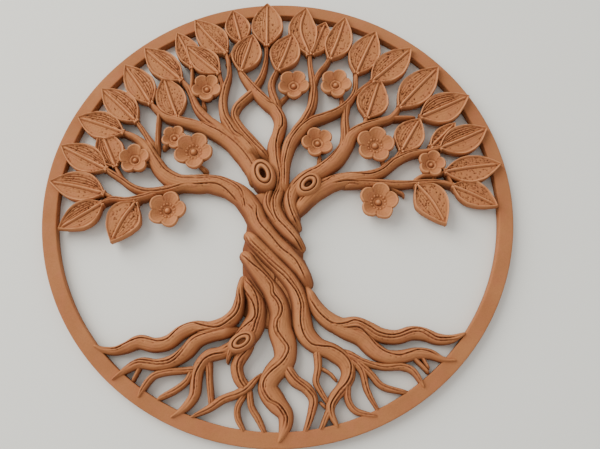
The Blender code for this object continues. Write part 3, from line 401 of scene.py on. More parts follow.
# A flower
FLOWER_TURN_STEPS = 150
FLOWER_RISE_STEPS = 44
FLOWER_SPREAD = 1.035
FLOWER_BOWL = 2.9
FLOWER_WALLS = ((0.0, 0.62), (2.4, 0.74), (FLOWER_HEIGHT - 2.4, 0.93), (FLOWER_HEIGHT - 1.1, 0.995))
# Painted shade down a flower's walls, darkest at the foot
FLOWER_WALL_SHADE = (0.7, 0.5, 0.2, 0.0)
SUNK_FLOWERS = ("w2",)
FLOWER_SINK = 0.14
PETALS = 5
PETAL_PLACE = 0.53
PETAL_SIZE = 0.47
BEAD_SIZE = 0.165
BIG_FLOWER = 15.0
STAMENS = 13
STAMEN_PLACE = 0.35
STAMEN_SIZE = 0.40

# A knot: its profile from the foot over the boss to the hole, as (radius, height, painted shade where
# positive and painted highlight where negative)
KNOT_TURN_STEPS = 80
KNOT_RISE_STEPS = 72
KNOT_SPREAD = 1.04
KNOT_SQUEEZE = 0.6
EYE = [(1.0, 0.0, 0.7), (1.0, 0.55, 0.7), (0.97, 0.70, 0.5), (0.90, 0.845, 0.1), (0.80, 0.930, 0.0),
       (0.72, 0.965, -0.3), (0.675, 0.965, -0.1), (0.640, 0.895, 0.7), (0.615, 0.865, 1.0),
       (0.590, 0.900, 0.7), (0.555, 0.965, 0.0), (0.49, 0.995, -0.3), (0.41, 0.995, -0.3),
       (0.345, 0.965, 0.1), (0.31, 0.86, 0.9), (0.28, 0.66, 1.0), (0.10, 0.60, 1.0),
       (0.004, 0.60, 1.0)]

RING_TURN_STEPS = 480
RING_WALL = 1.6
SHARP_ANGLE = 62.0

# Colours, and the material slot of each kind of piece
LIGHT_CLAY = (0.455, 0.182, 0.070, 1.0)
DARK_CLAY = (0.375, 0.140, 0.052, 1.0)
RED_CLAY = (0.41, 0.135, 0.063, 1.0)
RING_LIGHT = (0.405, 0.160, 0.062, 1.0)
RING_DARK = (0.345, 0.128, 0.048, 1.0)
# Painted shade: the dark colour put into grooves, holes, troughs, creases, the feet of walls and the packed
# sides of the trunk's strands
PAINTED_SHADE_COLOUR = (0.100, 0.022, 0.009, 1.0)
# Painted highlight: the pale colour put onto leaf rims and midribs, veins, groove lips, flower rims, beads
# and stamens, and knot crests
PAINTED_HIGHLIGHT_COLOUR = (0.66, 0.290, 0.130, 1.0)
PAPER = (0.81, 0.80, 0.745, 1.0)
SLOTS = {"ring": "clay_ring", "leaf": "clay_leaves", "flower": "clay_flowers",
         "knot": "clay_knots", "bough": "clay_boughs", "root": "clay_roots"}

# The camera's place, its up and its back direction
CAMERA_PLACE = (0.90, -94.44, 250.43)
CAMERA_UP = (0.04132, 0.94637, 0.32045)
CAMERA_BACK = (-0.02876, -0.31946, 0.94716)
CAMERA_LENS = 37.04

# The window's light, the room's and the floor, in metres
WINDOW_PLACE = (-0.85, 0.58, 0.76)
WINDOW_SIZE = 1.3
WINDOW_POWER = 24.0
WINDOW_COLOUR = (1.0, 0.985, 0.94)
ROOM_COLOUR = (0.88, 0.885, 0.88, 1.0)
ROOM_STRENGTH = 0.90
FLOOR_SIZE = 6.0
FLOOR_LEVEL = -0.0004


def smooth_path(points, share):
    """Rows of a smooth curve through the points, at an array of shares of its way."""
    p = np.asarray(points, float)
    spans = len(p) - 1
    place = np.clip(share, 0.0, 1.0) * spans
    i = np.minimum(place.astype(int), spans - 1)
    t = (place - i)[:, None]
    p = np.vstack([2 * p[0] - p[1], p, 2 * p[-1] - p[-2]])
    p0, p1, p2, p3 = (p[i + k] for k in range(4))
    return 0.5 * (2 * p1 + (p2 - p0) * t + (2 * p0 - 5 * p1 + 4 * p2 - p3) * t**2
                  + (3 * p1 - p0 - 3 * p2 + p3) * t**3)


def even_rows(points, step):
    """Evenly spaced rows along a path, their directions and their distances from its start."""
    fine = smooth_path(points, np.linspace(0.0, 1.0, 40 * len(points)))
    run = np.concatenate([[0.0], np.cumsum(np.hypot(*np.diff(fine[:, :2], axis=0).T))])
    place = np.linspace(0.0, run[-1], max(10, int(run[-1] / step)) + 1)
    rows = np.stack([np.interp(place, run, column) for column in fine.T], axis=1)
    return rows, directions(rows[:, :2]), place


def directions(points):
    """The unit direction of a path at each of its rows."""
    slope = np.gradient(points, axis=0)
    return slope / np.linalg.norm(slope, axis=1)[:, None]


def sideways(slope):
    return np.stack([slope[:, 1], -slope[:, 0]], axis=1)


def ripple(x, y, size, seed):
    """An uneven field of about -1 to 1 with bumps of one size."""
    source = np.random.default_rng(seed)
    total = np.zeros(np.broadcast(x, y).shape)
    for _ in range(7):
        turn, shift = source.uniform(0.0, 2 * math.pi, 2)
        pace = 2 * math.pi / (size * source.uniform(0.7, 1.5))
        total += np.sin(pace * (x * math.cos(turn) + y * math.sin(turn)) + shift)
    return total / 4.0


def bump(distance, width):
    return np.exp(-(distance / width) ** 2)


def rising(value, start=0.0, way=1.0):
    """0 up to the start, 1 from one way beyond it, and smooth between."""
    value = np.clip((value - start) / way, 0.0, 1.0)
    return value * value * (3.0 - 2.0 * value)


def falling(value, end, way):
    """1 up to one way before the end, 0 from there on, and smooth between."""
    return rising(end - value, 0.0, way)


def wall_points(edge, middle, level, draw):
    """An edge's points at another level, drawn in towards the middle."""
    wall = edge.copy()
    wall[..., :2] = middle + (edge[..., :2] - middle) * draw
    wall[..., 2] = level
    return wall


def between_walls(walls, top):
    """Rings of points up one side's walls, over the top and down the other side's."""
    return np.concatenate([wall[:, :1] for wall in walls] + [top]
                          + [wall[:, 1:] for wall in reversed(walls)], axis=1)


def mesh_piece(name, shells):
    """One object from closed lofts, each (rings of points in mm, painted shade and highlight marks, whether
    it runs round).
    """
    points = []
    marks = []
    faces = []
    first = 0
    for rings, painted_shading, round_trip in shells:
        count, size, _ = rings.shape
        index = first + np.arange(count * size).reshape(count, size)
        grid = np.hstack([index, index[:, :1]])
        if round_trip:
            grid = np.vstack([grid, grid[:1]])
        else:
            faces += [index[0][::-1].tolist(), index[-1].tolist()]
        corners = [grid[:-1, :-1], grid[:-1, 1:], grid[1:, 1:], grid[1:, :-1]]
        faces += np.stack(corners, axis=-1).reshape(-1, 4).tolist()
        points.append(rings.reshape(-1, 3))
        marks.append(np.broadcast_to(painted_shading, (count, size)).ravel())
        first += count * size
    mesh = bpy.data.meshes.new(name)
    mesh.from_pydata(np.vstack(points) * MM, [], faces)
    # The marks of painted shade (positive) and painted highlight (negative), for the clay's colour
    mark = mesh.attributes.new("painted_shading", "FLOAT", "POINT")
    mark.data.foreach_set("value", np.concatenate(marks).astype(np.float32))
    mesh.shade_smooth()
    mesh.set_sharp_from_angle(angle=math.radians(SHARP_ANGLE))
    piece = bpy.data.objects.new("look_" + name, mesh)
    bpy.context.scene.collection.objects.link(piece)
    kind = name.split("_")[0]
    mesh.materials.append(CLAYS[kind])
    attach(piece, "root")
    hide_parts(name)


Strand = namedtuple("Strand", "rows slope across place share half height")
Leaf = namedtuple("Leaf", "middle across share u half side x y")


class Relief:
    """The heights of a worked face, and how much painted shade and painted highlight each place of it gets.
    """

    def __init__(self, z):
        self.z = z
        self.painted_shading = np.zeros(z.shape)
        self.painted_highlight = np.zeros(z.shape)

    def work(self, rise, painted_shade=0.0, highlight_share=0.0):
        self.z = self.z + rise
        self.painted_shading = np.maximum(self.painted_shading, painted_shade)
        self.painted_highlight = np.maximum(self.painted_highlight, highlight_share)

    def marks(self):
        """Painted shade as positive values, painted highlight as negative values."""
        return self.painted_shading - self.painted_highlight * np.clip(1.0 - self.painted_shading, 0.0, 1.0)


def buried_ends(path, start, end):
    """The path with its ends drawn out into what they meet, and (share left, way) of their fall."""
    points = [tuple(point) for point in path]
    falls = []
    for way, kind in ((1, start), (-1, end)):
        here, next_one = points[::way][:2]
        run = math.dist(here[:2], next_one[:2])
        ahead = ((here[0] - next_one[0]) / run, (here[1] - next_one[1]) / run)
        if kind == "wrap":
            here = (*here[:2], here[2] * WRAP_WIDENING)
            points[0] = here
        if kind == "tip" or here[2] <= TIP_WIDTH:
            falls.append(TIP_END)
            continue
        far, far_per_width, width, low, fall, fall_per_width = ENDS[kind]
        far += far_per_width * here[2]
        drawn = (here[0] + ahead[0] * far, here[1] + ahead[1] * far, here[2] * width)
        points = [drawn] + points if way == 1 else points + [drawn]
        falls.append((low, fall + fall_per_width * here[2]))
    return points, falls


def strand_frame(path, start_height, end_height, seed, ends):
    """The rows of a strand, with their half widths and heights."""
    points, falls = buried_ends(path, *ends)
    rows, slope, place = even_rows(points, STRAND_STEP)
    share = place / place[-1]
    half = np.maximum(rows[:, 2], NARROWEST) / 2
    half *= 1.0 + UNEVEN_WIDTH * ripple(place, 0.0, 9.0, seed)
    if ends[1] == "leaf":
        outer = rising(np.hypot(rows[:, 0], rows[:, 1]), *OUTER_REACH)
        half *= 1.0 - OUTER_SLIMMING * outer * (rows[:, 2] > TIP_WIDTH)
    height = start_height + (end_height - start_height) * share
    height += UNEVEN_HEIGHT * ripple(place, 3.0, 11.0, seed + 1)
    for left_over, (low, fall) in zip((place, place[-1] - place), falls):
        height *= low + (1.0 - low) * rising(left_over / fall)
        reach = min(3.0, max(0.5, half[left_over.argmin()]))
        fade = np.sqrt(1.0 - (1.0 - np.clip(left_over / reach, 0.0, 1.0)) ** 2)
        half *= np.maximum(fade, 0.15)
        height *= 0.75 + 0.25 * fade
    return Strand(rows, slope, sideways(slope), place, share, half, height)


def groove_offset(line, strand):
    """Where a drawn line crosses each row of a strand: its offset, and how much it is there."""
    dense = smooth_path(line, np.linspace(0.0, 1.0, 24 * len(line)))
    gap = dense[None, :, :] - strand.rows[:, None, :2]
    ahead = np.abs((gap * strand.slope[:, None, :]).sum(axis=2))
    aside = (gap * strand.across[:, None, :]).sum(axis=2)
    ahead = np.where(np.abs(aside) > 0.9 * strand.half[:, None], np.inf, ahead)
    nearest = ahead.argmin(axis=1)
    every = np.arange(len(strand.rows))
    there = (ahead[every, nearest] < 0.4).astype(float)
    offset = aside[every, nearest]
    if there.any():
        offset = np.interp(every, every[there > 0], offset[there > 0])
    there = there * (np.abs(np.gradient(offset)) < STEEPEST)
    there = np.convolve(there, np.ones(7) / 7, mode="same")
    return offset, there


def joining_groove(found, strand):
    """A shallower groove along the stretches that the drawn lines leave bare."""
    offsets, seen, _ = (np.array(column) for column in zip(*found))
    every = np.arange(len(strand.share))
    drawn = seen.max(axis=0) > 0.5
    joined = np.interp(every, every[drawn], offsets[seen.argmax(axis=0), every][drawn])
    window = 2 * JOIN_ROWS + 1
    joined = np.convolve(np.pad(joined, JOIN_ROWS, mode="edge"), np.ones(window) / window, mode="valid")
    bare = (1.0 - seen.max(axis=0)) * rising(strand.share, 0.07, 0.06) * falling(strand.share, 0.90, 0.10)
    inside = 0.4 * strand.half
    return np.clip(joined, -inside, inside), bare, JOIN_DEPTH * GROOVE_DEPTH


def strand_grooves(lines, strand, seed):
    """Grooves of a strand, as (offset, presence, depth): drawn ones, or else one down its middle."""
    share = strand.share
    found = []
    for line in lines:
        offset, there = groove_offset(line, strand)
        there = there * (THIN_GROOVE + (1.0 - THIN_GROOVE) * rising(strand.half, 1.3, 0.9))
        if there.sum() > FEWEST_ROWS:
            found.append((offset, there, GROOVE_DEPTH))
    widest = strand.half.max()
    if found:
        found.append(joining_groove(found, strand))
    elif widest > THIN_STRAND:
        wander = 0.22 * ripple(share * 6.0, 0.0, 2.2, seed)
        there = rising(share, 0.04, 0.06) * falling(share, 0.96, 0.08)
        found.append((strand.half * wander, there, min(0.60, 0.24 * widest)))
    if widest > COMPANION_FROM:
        offset, there, _ = found[0]
        hand = 1.0 if seed % 2 else -1.0
        beside = offset + hand * (COMPANION_GAP + 0.25 * ripple(share * 30.0, 1.0, 8.0, seed + 9))
        fits = falling(np.abs(beside), 0.80 * strand.half, 0.5)
        broken = rising(ripple(share * 40.0, 0.0, 16.0, seed + 8) + 0.9)
        found.append((beside, there * fits * broken, COMPANION_DEPTH))
    return found


def strand_columns(strand, grooves):
    """Places across each row, from -1 to 1: even ones, and close ones at every groove."""
    columns = int(np.clip(COLUMNS_AT_LEAST + COLUMNS_PER_MM * strand.half.max(), *COLUMN_LIMITS))
    u = np.tile(np.sin(np.linspace(-math.pi / 2, math.pi / 2, columns)), (len(strand.rows), 1))
    for offset, _, _ in grooves:
        near = (offset[:, None] + np.array(GROOVE_COLUMNS)) / strand.half[:, None]
        u = np.hstack([u, np.clip(near, -0.97, 0.97)])
    u.sort(axis=1)
    return u


def strand_shell(path, start_height, end_height, lines, seed, ends=("tip", "tip")):
    """A rolled strand with its drawn grooves: flat back, round sides, domed top."""
    strand = strand_frame(path, start_height, end_height, seed, ends)
    rows, place = strand.rows, strand.place
    grooves = strand_grooves(lines, strand, seed)
    u = strand_columns(strand, grooves)
    side = u * strand.half[:, None]
    x = rows[:, :1] + strand.across[:, :1] * side
    y = rows[:, 1:2] + strand.across[:, 1:] * side
    dome = np.sqrt(np.clip(1.0 - np.abs(u) ** STRAND_ROUNDNESS, 0.0, 1.0))
    face = Relief(strand.height[:, None] * (STRAND_BELLY + (1.0 - STRAND_BELLY) * dome))
    # Painted shade on the strand's sides, and more on the sides of strands packed into the trunk
    inside = falling(np.hypot(x - TRUNK_MIDDLE[0], y - TRUNK_MIDDLE[1]), TRUNK_REACH, 9.0)
    face.work(0.0, np.maximum(0.65 * rising(np.abs(u), 0.72, 0.27),
                              0.80 * inside * rising(np.abs(u), 0.45, 0.45)))
    wander = 0.35 * ripple(place, 0.0, 9.0, seed + 12)[:, None]
    streak = np.sin(2 * math.pi * (side + wander) / STREAK_GAP)
    streak = streak * rising(0.9 + ripple(x, y, 9.0, seed + 13)) * dome
    # Painted shade in the streaks' troughs
    face.work(STREAK_DEPTH * streak, 0.30 * np.clip(-streak, 0.0, 1.0))

    source = np.random.default_rng(seed + 50)
    rough = 1.0 + 0.30 * ripple(place, 7.0, 1.3, seed + 6)[:, None]
    for offset, there, depth in grooves:
        away = side - offset[:, None]
        there = there[:, None]
        cut = bump(away, GROOVE_WIDTH) * there * rough
        lip = bump(np.abs(away) - GROOVE_LIP, LIP_WIDTH) * there
        # Painted shade in the groove, painted highlight on its lips
        face.work(depth * (LIP_HEIGHT * lip - cut) * dome, cut * min(1.0, depth / 0.5), 0.45 * depth * lip)
        for at in np.arange(source.uniform(0.0, 2.0), place[-1], PRICK_GAP):
            row = min(np.searchsorted(place, at + source.uniform(-0.8, 0.8)), len(rows) - 1)
            hole = offset[row] + source.choice([-1.0, 1.0]) * source.uniform(0.75, 1.2)
            prick = bump(np.hypot(side - hole, (place - at)[:, None]), PRICK_SIZE) * there * dome
            # Painted shade in each pricked hole
            face.work(-PRICK_DEPTH * prick, 0.9 * prick)
    face.work((0.05 * ripple(x, y, 2.4, seed + 2) + 0.025 * ripple(x, y, 0.9, seed + 3)) * dome)

    top = np.stack([x, y, np.maximum(face.z, LOWEST)], axis=-1)
    edge = top[:, [0, -1]]
    walls = [wall_points(edge, rows[:, None, :2], edge[..., 2] * low, draw) for low, draw in STRAND_WALLS]
    # Painted shade down the strand's walls
    painted_shade = np.full((len(rows), len(walls)), 0.75)
    return between_walls(walls, top), np.hstack([painted_shade, face.marks(), painted_shade]), False


def leaf_share(share):
    """Share of a leaf's half width: full below the middle, drawn out to a point."""
    widest = LEAF_RISE / (LEAF_RISE + LEAF_FALL)
    return (share**LEAF_RISE * (1 - share)**LEAF_FALL
            / (widest**LEAF_RISE * (1 - widest)**LEAF_FALL))

def covered(x, y, upper):
    """How far each place lies under the leaves in front, from 0 to 1."""
    depth = np.zeros(x.shape)
    for base, bend, tip, left, right in upper:
        long_way = np.subtract(tip, base)
        length = np.hypot(*long_way)
        long_way = long_way / length
        ahead = (x - base[0]) * long_way[0] + (y - base[1]) * long_way[1]
        aside = (x - base[0]) * long_way[1] - (y - base[1]) * long_way[0]
        bow = (bend[0] - base[0]) * long_way[1] - (bend[1] - base[1]) * long_way[0]
        aside = aside - 4.0 * bow * (ahead / length) * (1.0 - ahead / length)
        half = np.where(aside < 0, left, right) * leaf_share(np.clip(ahead / length, 0.0, 1.0))
        depth = np.maximum(depth, falling(np.abs(aside), half, 0.7))
    return depth


def leaf_frame(base, bend, tip, left, right, seed):
    """A leaf's rows along its midrib and its columns from edge to edge."""
    ramp = 0.5 - 0.5 * np.cos(np.linspace(0.0, math.pi, LEAF_ROWS))
    share = 0.35 * ramp + 0.65 * np.linspace(0.0, 1.0, LEAF_ROWS)
    middle = smooth_path([base, bend, tip], share)
    across = sideways(directions(middle))
    full = leaf_share(share)
    least = LEAF_BASE_HALF_WIDTH * (1 - share) ** 2 + 0.12
    u = np.linspace(-1.0, 1.0, LEAF_COLUMNS)
    u = (0.75 * u + 0.25 * u**3)[None, :]
    half = np.where(u < 0, np.maximum(left * full, least)[:, None],
                    np.maximum(right * full, least)[:, None])
    half = half * (1.0 + 0.02 * ripple(share * 24.0, 0.0, 5.0, seed)[:, None])
    side = u * half
    x = middle[:, :1] + across[:, :1] * side
    y = middle[:, 1:] + across[:, 1:] * side
    return Leaf(middle, across, share, u, half, side, x, y)


def draw_veins(face, leaf, inner, veined, streaks, source, seed):
    """Long side veins with a trough beside each, strong on one half and faint on the other."""
    s = leaf.share[:, None]
    for k, place in enumerate(VEINS):
        wander = 0.03 * ripple(leaf.share * 24.0, 0.0, 9.0, seed + 11 * k)[:, None]
        for hand in (-1.0, 1.0):
            strength = source.uniform(0.75, 1.1) if hand == veined else source.uniform(0.05, 0.35)
            there = rising(s, source.uniform(0.0, 0.10), 0.08)
            there = strength * streaks * there * falling(s, source.uniform(0.80, 0.98), 0.14) * inner
            gap = (leaf.u * hand - place - wander) * leaf.half
            vein = there * bump(gap, 0.24)
            trough = there * bump(gap - TROUGH_GAP, 0.22)
            # Painted shade in each trough, painted highlight on each vein
            face.work(VEIN_HEIGHT * vein - TROUGH_DEPTH * trough, 0.95 * trough, 0.40 * vein)


def prick_holes(face, leaf, inner, veined, streaks, sides, source):
    """Pricked holes, most of them on the veined half."""
    for _ in range(int(LEAF_PRICKS * (2.6 - 1.6 * streaks))):
        at = source.beta(1.3, 1.3 + 1.2 * streaks)
        hand = veined if source.uniform() < 0.52 + 0.28 * streaks else -veined
        off = hand * source.uniform(0.16, 0.84) * leaf_share(at) * sides[int(hand > 0)]
        size = source.uniform(0.17, 0.33)
        row = np.searchsorted(leaf.share, at)
        centre = leaf.middle[row] + leaf.across[row] * off
        prick = bump(np.hypot(leaf.x - centre[0], leaf.y - centre[1]), size) * inner
        # Painted shade in each hole
        face.work(-LEAF_PRICK_DEPTH * prick, prick)


def leaf_shell(base, bend, tip, left, right, rank, seed, streaks, swap, upper):
    """A pressed leaf: raised rim and midrib, long side veins, and pricked holes."""
    source = np.random.default_rng(seed)
    leaf = leaf_frame(base, bend, tip, left, right, seed)
    u, side = leaf.u, leaf.side
    s = leaf.share[:, None]
    length = math.dist(base, tip)
    rim_gap = np.minimum((1.0 - np.abs(u)) * leaf.half, (length - s * length) * 0.8)
    rim = bump(rim_gap - RIM_PLACE, 0.34)
    inner = rising(rim_gap, 0.70, 0.5)
    face = Relief(LEAF_FACE + LEAF_LIFT * rank + 0.25 * u**2)
    # Raised rim with a painted highlight along it
    face.work(LEAF_RIM * rim - 0.55 * falling(rim_gap, 0.34, 0.34) - 0.16 * bump(rim_gap - 1.25, 0.30),
              highlight_share=0.60 * rim * falling(s, 1.02, 0.1))

    rib = falling(s, 0.95, 0.08)
    thick = 0.30 + 0.14 * (1.0 - s)
    ridge = np.clip(1.0 - s, 0.0, 1.0) ** 0.35 * rib * bump(side, thick)
    # Raised midrib with a painted highlight along it
    face.work(LEAF_RIB * ridge, highlight_share=0.80 * ridge)
    lower = -1.0 if np.dot(leaf.across.mean(axis=0), VEINED_SIDE) < 0 else 1.0
    gutter, other = (bump(side * hand - thick - GUTTER_GAP, GUTTER_WIDTH) * rib * inner
                     for hand in (-lower, lower))
    # Gutters beside the midrib, with painted shade in them
    face.work(-0.34 * gutter - 0.18 * other, 0.65 * gutter + 0.35 * other)

    veined = -lower if swap else lower
    draw_veins(face, leaf, inner, veined, streaks, source, seed)
    rough = 0.055 + 0.035 * rising(0.5 + u * veined)
    grain = ripple(leaf.x, leaf.y, 1.5, seed + 5) + ripple(leaf.x, leaf.y, 0.8, seed + 6)
    face.work(inner * rough * grain)
    prick_holes(face, leaf, inner, veined, streaks, (left, right), source)
    face.work(-HIDDEN_DROP * covered(leaf.x, leaf.y, upper))

    top = np.stack([leaf.x, leaf.y, face.z], axis=-1)
    edge = top[:, [0, -1]]
    heart = smooth_path([base, bend, tip], np.array([LEAF_HEART]))[0]
    walls = [wall_points(edge, heart, level, draw) for level, draw in LEAF_WALLS]
    walls.append(edge - np.array([0.0, 0.0, LEAF_SHOULDER]))
    painted_shade = np.tile(LEAF_WALL_SHADE, (LEAF_ROWS, 1))
    return between_walls(walls, top), np.hstack([painted_shade, face.marks(), painted_shade[:, ::-1]]), False


def flower_shell(centre, diameter, phase, seed):
    """Five petals cupped into one bowl with thick rims, round a bead; a big flower has stamens."""
    radius = diameter / 2
    angle = np.linspace(0.0, 2 * math.pi, FLOWER_TURN_STEPS, endpoint=False)[None, :]
    sector = 2 * math.pi / PETALS
    off = (angle - math.radians(phase) + sector / 2) % sector - sector / 2
    edge = (PETAL_PLACE * radius * np.cos(off)
            + np.sqrt((PETAL_SIZE * radius) ** 2 - (PETAL_PLACE * radius * np.sin(off)) ** 2))
    edge = edge * (1.0 + 0.015 * ripple(np.cos(angle) * 3, np.sin(angle) * 3, 2.0, seed))
    rho = np.maximum(np.linspace(1.0, 0.0, FLOWER_RISE_STEPS)[:, None] ** 1.15, 0.004)
    reach = rho * edge
    x = reach * np.cos(angle)
    y = reach * np.sin(angle)
    share = reach / radius
    rim_gap = (1.0 - rho) * edge
    face = Relief(FLOWER_HEIGHT - FLOWER_BOWL + FLOWER_BOWL * rising(rho, 0.22, 0.72) ** 0.85)
    rim = bump(rim_gap - 0.62, 0.46)
    # Painted highlight along the petals' rim
    face.work(0.42 * rim - 0.55 * falling(rim_gap, 0.42, 0.42), highlight_share=0.40 * rim)
    seam = np.abs(np.abs(off) - sector / 2) * reach
    crease = bump(seam, 0.34) * rising(share, 0.40, 0.18)
    fan = np.sin(26.0 * angle + 3.0 * share) * rising(share, 0.35, 0.2) * rising(rim_gap, 0.8)
    face.work(0.05 * fan - 0.55 * crease)

    bead = BEAD_SIZE * radius
    # Painted shade round the bead and in the creases between petals, painted highlight on the bead
    face.work(1.15 * bead * np.sqrt(np.clip(1.0 - (reach / bead) ** 2, 0.0, 1.0)),
              0.8 * bump(reach - bead - 0.15, 0.24) + 0.45 * crease,
              0.40 * falling(reach, 0.8 * bead, 0.5 * bead))
    if diameter >= BIG_FLOWER:
        for k in range(STAMENS):
            turn = 2 * math.pi * (k + 0.3) / STAMENS
            gap = np.hypot(x - STAMEN_PLACE * radius * math.cos(turn),
                           y - STAMEN_PLACE * radius * math.sin(turn))
            dot = bump(gap, STAMEN_SIZE)
            # Painted shade round each stamen, painted highlight on it
            face.work(0.75 * dot, 0.55 * bump(gap - 0.68, 0.20), 0.5 * dot)
    else:
        collar = bump(reach - bead - 0.85, 0.28)
        # Painted shade beside the collar, painted highlight on it
        face.work(0.42 * collar, 0.5 * bump(reach - bead - 1.45, 0.26), 0.45 * collar)
    face.work(0.035 * ripple(x, y, 1.3, seed + 4) * np.minimum(1.0, share * 4))

    top = np.stack([centre[0] + x, centre[1] + y, face.z], axis=-1)
    walls = [wall_points(top[0], np.array(centre), level, draw) for level, draw in FLOWER_WALLS]
    painted_shade = np.repeat(FLOWER_WALL_SHADE, FLOWER_TURN_STEPS).reshape(-1, FLOWER_TURN_STEPS)
    return np.concatenate([np.stack(walls), top]), np.vstack([painted_shade, face.marks()]), False


def knot_shell(centre, length, width, lean, height, seed):
    """An oval boss with a groove round its hole."""
    angle = np.linspace(0.0, 2 * math.pi, KNOT_TURN_STEPS, endpoint=False)[None, :]
    knots = np.array(EYE)
    run = np.concatenate([[0.0], np.cumsum(np.hypot(np.diff(knots[:, 0]) * 6, np.diff(knots[:, 1]) * 9))])
    fine = np.linspace(0.0, run[-1], KNOT_RISE_STEPS)
    rho, rise, painted_shading = (np.interp(fine, run, column)[:, None] for column in knots.T)
    turn = math.radians(lean)
    long_way = rho * np.cos(angle) * (length * KNOT_SPREAD) / 2
    short_way = rho * (1.0 - KNOT_SQUEEZE * (1.0 - rho) ** 2) * np.sin(angle) * (width * KNOT_SPREAD) / 2
    x = centre[0] + long_way * math.cos(turn) - short_way * math.sin(turn)
    y = centre[1] + long_way * math.sin(turn) + short_way * math.cos(turn)
    z = rise * height + 0.06 * ripple(x, y, 2.5, seed) * (rho < 0.99)
    z = np.where(rise <= 0.0, 0.0, z)
    return np.stack([x, y, z], axis=-1), painted_shading, False


def ring_shell():
    """The flat outer ring, its edges eased, its face very slightly uneven."""
    angle = np.linspace(0.0, 2 * math.pi, RING_TURN_STEPS, endpoint=False)[:, None]
    eased = [(RING_EDGE * (1 - math.cos(lean)), RING_THICKNESS - RING_EDGE * (1 - math.sin(lean)))
             for lean in np.linspace(0.0, math.pi / 2, 5)]
    section = [(RING_INNER, 0.0), (RING_INNER, RING_WALL)]
    section += [(RING_INNER + inset, level) for inset, level in eased]
    section += [(RING_INNER + (RING_OUTER - RING_INNER) * k / 6, RING_THICKNESS) for k in range(1, 6)]
    section += [(RING_OUTER - inset, level) for inset, level in reversed(eased)]
    section += [(RING_OUTER, RING_WALL), (RING_OUTER, 0.0)]
    radius, level = (np.array(column)[None, :] for column in zip(*section))
    x = radius * np.cos(angle)
    y = radius * np.sin(angle)
    z = level + 0.035 * ripple(x, y, 14.0, 5) * (level > 2.0)
    # Painted shade on the lower walls
    return np.stack([x, y, z], axis=-1), np.where(level < 1.0, 0.6, 0.0), True


def grey(value):
    return (value, value, value, 1.0)


def matte_material(name):
    material = bpy.data.materials.new(name)
    material.use_nodes = True
    return material, material.node_tree.nodes["Principled BSDF"]


def clay(kind, light, dark):
    """Dry matte terracotta: uneven colour, painted highlight on the high places, painted shade in the
    grooves and hollows.
    """
    material, shader = matte_material("clay_" + kind)
    tree = material.node_tree
    place = tree.nodes.new("ShaderNodeTexCoord").outputs["Object"]

    def texture(node_type, settings):
        node = tree.nodes.new(node_type)
        for socket, value in settings.items():
            node.inputs[socket].default_value = value
        tree.links.new(place, node.inputs["Vector"])
        return node

    def noise(scale, detail, roughness=0.55):
        settings = {"Scale": scale, "Detail": detail, "Roughness": roughness}
        return texture("ShaderNodeTexNoise", settings).outputs["Fac"]

    def ramp(source, stops):
        node = tree.nodes.new("ShaderNodeValToRGB")
        marks = node.color_ramp.elements
        marks[0].position, marks[0].color = stops[0]
        marks[1].position, marks[1].color = stops[-1]
        for position, colour in stops[1:-1]:
            marks.new(position).color = colour
        tree.links.new(source, node.inputs["Fac"])
        return node.outputs["Color"]

    def mix(factor, first, second, mode="MIX"):
        node = tree.nodes.new("ShaderNodeMix")
        node.data_type = "RGBA"
        node.blend_type = mode
        for value, place_of in ((factor, 0), (first, 6), (second, 7)):
            if hasattr(value, "links"):
                tree.links.new(value, node.inputs[place_of])
            else:
                node.inputs[place_of].default_value = value
        return node.outputs[2]

    # Colour: broad patches of light, dark and red clay under a fine grain
    body = ramp(noise(55.0, 3.0), [(0.30, dark), (0.70, light)])
    body = mix(ramp(noise(160.0, 4.0), [(0.45, grey(0.0)), (0.75, grey(0.5))]), body, RED_CLAY)
    grain = ramp(noise(2600.0, 2.0, 0.7), [(0.30, grey(0.80)), (0.60, grey(1.0)), (0.80, grey(1.10))])
    body = mix(0.6, body, grain, "MULTIPLY")

    # Painted shade where the shading mark is positive, and painted highlight where it is negative
    painted_shading = tree.nodes.new("ShaderNodeAttribute")
    painted_shading.attribute_name = "painted_shading"
    painted_shade_mask = ramp(painted_shading.outputs["Fac"], [(0.05, grey(0.0)), (1.0, grey(0.92))])
    body = mix(painted_shade_mask, body, PAINTED_SHADE_COLOUR)
    opposite = tree.nodes.new("ShaderNodeMath")
    opposite.operation = "MULTIPLY"
    opposite.inputs[1].default_value = -1.0
    tree.links.new(painted_shading.outputs["Fac"], opposite.inputs[0])
    painted_highlight = ramp(opposite.outputs[0], [(0.05, grey(0.0)), (0.6, grey(0.75))])
    body = mix(painted_highlight, body, PAINTED_HIGHLIGHT_COLOUR)
    tree.links.new(body, shader.inputs["Base Color"])
    rough = ramp(noise(400.0, 2.0), [(0.3, grey(0.72)), (0.7, grey(0.88))])
    tree.links.new(rough, shader.inputs["Roughness"])
    shader.inputs["Specular IOR Level"].default_value = 0.16

    # Bump: fine level lines, then grain
    bands = texture("ShaderNodeTexWave", {"Scale": 640.0, "Distortion": 3.0, "Detail": 2.0,
                                          "Detail Scale": 0.6})
    bands.wave_type = "BANDS"
    bands.bands_direction = "Z"
    previous = None
    for source, strength, distance in ((bands.outputs["Fac"], 0.35, 0.00010),
                                       (noise(1300.0, 3.0, 0.65), 0.55, 0.00016)):
        relief = tree.nodes.new("ShaderNodeBump")
        relief.inputs["Strength"].default_value = strength
        relief.inputs["Distance"].default_value = distance
        tree.links.new(source, relief.inputs["Height"])
        if previous is not None:
            tree.links.new(previous, relief.inputs["Normal"])
        previous = relief.outputs["Normal"]
    tree.links.new(previous, shader.inputs["Normal"])
    return material


